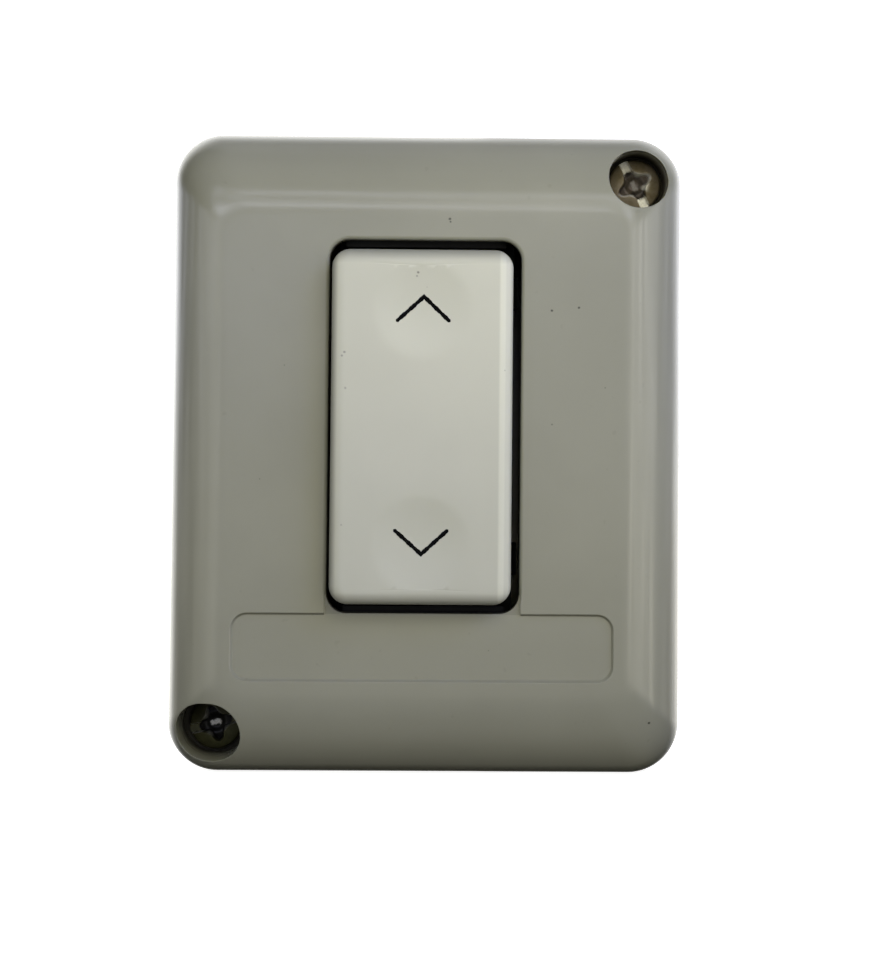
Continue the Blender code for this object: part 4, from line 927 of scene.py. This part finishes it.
def worn_glinting_screw_metal(name, well, slot_angle, plate, tarnish, recess, ends, rims, middle):
    """Bronzed nickel plate, worn bright where drivers have turned in the slot, with painted highlights along
    the slot's edges and the recess's rim, a painted glint in the middle of the recess, and a darker recess,
    near black in the lower screw as painted shade.
    """
    n = Nodes(name)
    patches = n.spread(n.noise(420.0, 4.0, 0.6), 0.36, 0.64, 0.0, 1.0)
    shade = n.mix(patches, plate, tarnish)
    pit = n.add("ShaderNodeAttribute", attribute_name="pit").outputs["Fac"]
    rim = n.add("ShaderNodeAttribute", attribute_name="rim").outputs["Fac"]
    turned = n.add("ShaderNodeVectorRotate", rotation_type="Y_AXIS")
    n.feed(turned.inputs["Vector"], n.vector_math("SUBTRACT", n.place, (well[0], 0.0, well[1]))[0])
    turned.inputs["Angle"].default_value = slot_angle
    axes = n.axes(turned.outputs[0])
    along, across = n.math("ABSOLUTE", axes[0]), n.math("ABSOLUTE", axes[2])
    ragged = n.spread(n.noise(2600.0, 2.0), 0.3, 0.7, -0.12 * MM, 0.12 * MM)
    ragged_along, ragged_across = n.math("ADD", along, ragged), n.math("ADD", across, ragged)
    slot_end = n.product(
        n.spread(ragged_across, 0.50 * MM, 0.62 * MM, ends, 0.0),
        n.spread(ragged_along, 1.8 * MM, 2.0 * MM, 0.0, 1.0),
    )
    # Painted highlight along the slot's edges
    from_edge = n.math("ABSOLUTE", n.math("SUBTRACT", across, 0.58 * MM))
    edge = n.product(
        n.spread(from_edge, 0.03 * MM, 0.09 * MM, 0.6 * rims, 0.0),
        n.spread(along, 1.5 * MM, 1.9 * MM, 0.0, 1.0),
    )
    # Painted glint in the middle of the recess
    glint = n.product(
        n.spread(ragged_across, 0.2 * MM, 0.4 * MM, middle, 0.0),
        n.spread(ragged_along, 0.55 * MM, 0.8 * MM, 1.0, 0.0),
    )
    bright = n.math("MAXIMUM", slot_end, edge)
    bright = n.math("MAXIMUM", bright, n.math("MAXIMUM", n.product(rim, rims), glint))
    bright = n.product(bright, n.spread(n.noise(5200.0, 1.0), 0.42, 0.6, 0.8, 1.0))
    stains = n.spread(n.noise(900.0, 3.0), 0.35, 0.65, 0.0, 1.0)
    # The recess darkened to its recess colour with stains, then the wear, painted highlights and painted
    # glint laid on
    shade = n.mix(pit, shade, n.mix(stains, recess, tuple(part * 0.25 for part in recess)))
    shade = n.mix(bright, shade, WEAR_AND_GLINT_COLOUR)
    roughness = n.math("ADD", n.spread(patches, 0.0, 1.0, 0.28, 0.42), n.product(bright, 0.15))
    n.feed(n.shader.inputs["Metallic"], n.math("SUBTRACT", 0.5, n.product(bright, 0.5)))
    return n.finish(shade, roughness, n.bump(n.noise(3000.0, 2.0, 0.6), 0.5, 0.006 * MM))


# Plunger spring
SPRING_RADIUS = 1.6 * MM
SPRING_WIRE = 0.22 * MM
SPRING_TURNS = 5
SPRING_STEPS = 220
SPRING_SIDES = 10


def make_spring():
    """Wire coil that stays at the end of the rocker's pocket and is pressed together by the plunger."""
    low_corner, high_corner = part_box("plunger_spring")
    start, end = -high_corner[1] + SPRING_WIRE, -low_corner[1] - SPRING_WIRE
    climb = (end - start) / (math.tau * SPRING_TURNS)
    leans = [math.tau * part / SPRING_SIDES for part in range(SPRING_SIDES)]
    bm = bmesh.new()
    rings = []
    for step in range(SPRING_STEPS + 1):
        turn = math.tau * SPRING_TURNS * step / SPRING_STEPS
        outward = Vector((math.cos(turn), 0.0, math.sin(turn)))
        along = Vector((-SPRING_RADIUS * math.sin(turn), -climb, SPRING_RADIUS * math.cos(turn))).normalized()
        middle = outward * SPRING_RADIUS + Vector((0.0, -start - climb * turn, KEY_RISE))
        side = along.cross(outward)
        rings.append([
            bm.verts.new(middle + (outward * math.cos(lean) + side * math.sin(lean)) * SPRING_WIRE)
            for lean in leans
        ])
    for first, second in zip(rings, rings[1:]):
        for here in range(SPRING_SIDES):
            after = (here + 1) % SPRING_SIDES
            bm.faces.new((first[here], first[after], second[after], second[here]))
    bm.faces.new(rings[0])
    bm.faces.new(rings[-1])
    spring = smooth(object_of("coil_spring", bm), 40.0)
    wear(spring, "spring_steel", "rocker", "plunger_spring")
    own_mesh(spring)


# Arrow marks
STROKE_HALF_WIDTH = 0.245 * MM
INK_PROUD = 0.016 * MM
INK_SUNK = 0.03 * MM
ARROW_STEPS = 40


def make_arrow(name, apex, spans, rise):
    """A printed chevron that follows the dish: a mitred stroke with round ends and a slightly uneven edge."""
    apex = Vector(apex)
    columns = []
    for index, across in enumerate((-spans[0], spans[1])):
        end = apex + Vector((across, -rise))
        along = (end - apex).normalized()
        side = Vector((-along.y, along.x))
        if (side.y > 0) != (rise > 0):
            side = -side
        for step in range(ARROW_STEPS + 1):
            t = step / ARROW_STEPS
            spot = apex.lerp(end, t)
            uneven = 1.0 + 0.12 * math.sin(19.0 * t + 5 * index) + 0.07 * math.sin(53.0 * t + 2.0)
            half = STROKE_HALF_WIDTH * uneven
            rest = (1 - t) * (end - apex).length
            if rest < half:
                half = math.sqrt(max(0.0, half**2 - (half - rest) ** 2)) or HAIR
            if step > 0:
                columns.append((step if index else -step, (spot + side * half, spot - side * half)))
            elif index == 0:
                mitre = Vector((0.0, math.copysign(STROKE_HALF_WIDTH / abs(along.x), rise)))
                columns.append((0, (apex + mitre, apex - mitre)))
    columns.sort(key=lambda item: item[0])
    bm = bmesh.new()
    grid = []
    for _, (outer, inner) in columns:
        line = []
        for spot, lift in ((outer, INK_PROUD), (inner, INK_PROUD), (inner, -INK_SUNK), (outer, -INK_SUNK)):
            line.append(bm.verts.new((spot.x, -(KEY_FACE - dish_fall(spot.x, spot.y) + lift), spot.y)))
        grid.append(line)
    for first, second in zip(grid, grid[1:]):
        for here in range(4):
            after = (here + 1) % 4
            bm.faces.new((first[here], first[after], second[after], second[here]))
    bm.faces.new(grid[0])
    bm.faces.new(grid[-1])
    arrow = smooth(object_of(name, bm), 30.0)
    arrow.data.materials.append(looks["ink"])
    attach(arrow, "rocker")


make_cover()
make_key()
for side in WELLS:
    make_screw(side)
make_spring()
make_arrow("arrow_up", (-0.04 * MM, 19.52 * MM), (3.42 * MM, 3.26 * MM), 3.12 * MM)
make_arrow("arrow_down", (-0.13 * MM, -12.15 * MM), (3.4 * MM, 3.33 * MM), -3.05 * MM)

# Every other CAD node keeps its shape and gets its material
for entry in frame["record"]["subparts"]:
    node = frame["nodes"][entry["node"]]
    node.data.materials.clear()
    node.data.materials.append(looks[entry["material_slot"]])


# Stage and lights
FLOOR_GLOW = 0.96
BACKDROP_GLOW = 1.05

# Colours of the light panels round the object
LEVEL_COLOUR = (0.54, 0.57, 0.76)
LOWER_LEVEL_COLOUR = (0.44, 0.42, 0.33)
LEFT_COLOUR = (0.52, 0.52, 0.47)
RIGHT_COLOUR = (1.12, 1.08, 0.93)
UPPER_COLOUR = (0.05, 0.055, 0.08)
CREST_COLOUR = (1.45, 1.5, 1.75)
LOW_COLOUR = (0.12, 0.115, 0.09)
BEHIND_COLOUR = (1.15, 1.15, 1.12)

# Colours of the softboxes
WARM = (1.0, 0.935, 0.6)
COOL = (0.43, 0.51, 1.0)

# Share of the level and of the right panel's light that goes on past the object's sides
FAR_LEFT = 0.55
FAR_RIGHT = 0.6
RIGHT_END = 0.3

# How much more light comes from behind on the left than on the right
BEHIND_LEFT = 1.6

# Strength of the streaks in the right panel and in the crest
BAR_DEPTH = 0.6
SLAT_DEPTH = 0.7


def stage_piece(name, mesh_builder, colour, glow):
    piece = object_of(name, mesh_builder)
    n = Nodes(name)
    patches = n.spread(n.noise(0.8), 0.3, 0.7, 0.0, 1.0)
    tone = n.mix(patches, colour, tuple(part * 0.985 for part in colour))
    n.feed(n.shader.inputs["Base Color"], tone)
    n.feed(n.shader.inputs["Emission Color"], tone)
    n.shader.inputs["Emission Strength"].default_value = glow
    n.shader.inputs["Roughness"].default_value = 0.9
    piece.data.materials.append(n.material)
    piece.visible_diffuse = False
    piece.visible_glossy = False
    return piece


def make_stage():
    floor = bmesh.new()
    bmesh.ops.create_circle(floor, cap_ends=True, segments=96, radius=6.0)
    floor_piece = stage_piece("floor", floor, (0.97, 0.97, 0.965), FLOOR_GLOW)
    floor_piece.location = (0.0, 0.0, cad_low.z)
    dome = bmesh.new()
    bmesh.ops.create_uvsphere(dome, u_segments=64, v_segments=32, radius=5.5)
    backdrop = stage_piece("backdrop", dome, (1.0, 1.0, 0.995), BACKDROP_GLOW)
    backdrop.visible_shadow = False


def softbox(name, place, aim, size, power, colour, spread):
    data = bpy.data.lights.new(name, "AREA")
    data.shape = "RECTANGLE"
    data.size, data.size_y = size
    data.spread = math.radians(spread)
    data.energy = power
    data.color = colour
    light = bpy.data.objects.new(name, data)
    light.location = place
    light.rotation_euler = (Vector(aim) - Vector(place)).to_track_quat("-Z", "Y").to_euler()
    light.visible_camera = False
    light.visible_glossy = False
    bpy.context.scene.collection.objects.link(light)


class WorldNodes(Nodes):
    """The world's node tree, by directions in degrees: across, from the front to the right, and up."""

    def __init__(self, world):
        world.use_nodes = True
        self.tree = world.node_tree
        self.background = self.tree.nodes["Background"]
        self.place = self.add("ShaderNodeTexCoord").outputs["Generated"]
        x, y, z = self.axes()
        degree = 180 / math.pi
        self.across = self.product(self.math("ARCTAN2", x, self.product(y, -1.0)), degree)
        self.up = self.product(self.math("ARCSINE", z), degree)

    def rise(self, value, low, high, start=0.0):
        """From start below low to 1 above high, smooth between."""
        return self.map_range((value, low, high, start, 1.0), interpolation_type="SMOOTHSTEP")

    def fall(self, value, low, high, end=0.0):
        """From 1 below low to end above high, smooth between."""
        return self.map_range((value, low, high, 1.0, end), interpolation_type="SMOOTHSTEP")

    def clouds(self, wide, high, detail=2.0):
        """Noise whose patches are about so many degrees wide and high."""
        node = self.add("ShaderNodeCombineXYZ")
        self.feed(node.inputs["X"], self.math("DIVIDE", self.across, wide))
        self.feed(node.inputs["Y"], self.math("DIVIDE", self.up, high))
        return self.noise(1.0, detail, 0.5, place=node.outputs[0])

    def streaks(self, wide, high, depth):
        return self.spread(self.clouds(wide, high), 0.44, 0.56, 1 - depth, 1 + depth)


def make_world():
    """Soft panels in front of the object, to its sides, above it, below it and behind it."""
    world = bpy.data.worlds.new("studio")
    bpy.context.scene.world = world
    n = WorldNodes(world)
    across, up = n.across, n.up
    level = n.product(
        n.rise(up, -18.0, -6.0), n.fall(up, 6.0, 18.0),
        n.rise(across, -82.0, -70.0, FAR_LEFT), n.fall(across, 86.0, 90.0, FAR_RIGHT),
        n.spread(n.clouds(9.0, 7.0, 3.0), 0.49, 0.54, 0.75, 1.4),
    )
    right = n.product(
        level, n.rise(across, 16.0, 22.0), n.fall(across, 86.0, 90.0, RIGHT_END),
        n.streaks(5.0, 60.0, BAR_DEPTH),
    )
    upper = n.product(
        n.rise(up, 6.0, 18.0), n.fall(up, 34.0, 46.0),
        n.rise(across, -75.0, -45.0), n.rise(across, -26.0, 4.0, 0.3), n.fall(across, 19.0, 31.0),
    )
    crest = n.product(
        n.rise(up, 12.0, 16.0), n.fall(up, 19.0, 24.0, 0.5), n.fall(up, 37.0, 39.0),
        n.rise(across, -50.0, -35.0), n.fall(across, 19.0, 31.0), n.streaks(16.0, 5.0, SLAT_DEPTH),
    )
    behind = n.product(
        n.rise(up, -30.0, 0.0), n.fall(up, 30.0, 60.0, 0.15),
        n.rise(n.math("ABSOLUTE", across), 122.0, 150.0), n.rise(across, -100.0, 100.0, BEHIND_LEFT),
    )
    light = n.sum_of(
        n.scaled(LEVEL_COLOUR, n.product(level, n.rise(up, -7.0, 5.0))),
        n.scaled(LOWER_LEVEL_COLOUR, n.product(level, n.fall(up, -7.0, 5.0))),
        n.scaled(LEFT_COLOUR, n.product(level, n.fall(across, -25.0, -19.0))),
        n.scaled(RIGHT_COLOUR, right),
        n.scaled(UPPER_COLOUR, upper),
        n.scaled(CREST_COLOUR, crest),
        n.scaled(LOW_COLOUR, n.fall(up, -56.0, -44.0)),
        n.scaled(BEHIND_COLOUR, behind),
    )
    n.feed(n.background.inputs["Color"], light)
    n.background.inputs["Strength"].default_value = 1.0


make_stage()
make_world()

# Lights near the part: place, the point aimed at, size, power, colour and spread in degrees
softbox("warm softbox", (0.04, -0.22, 0.10), (0.01, -0.05, 0.04), (0.12, 0.10), 0.047, WARM, 90.0)
softbox("cool softbox", (0.20, -0.22, 0.20), (0.02, -0.05, 0.06), (0.20, 0.16), 0.059, COOL, 54.0)
bpy.context.scene.view_settings.view_transform = "Standard"
bpy.context.scene.view_settings.look = "None"
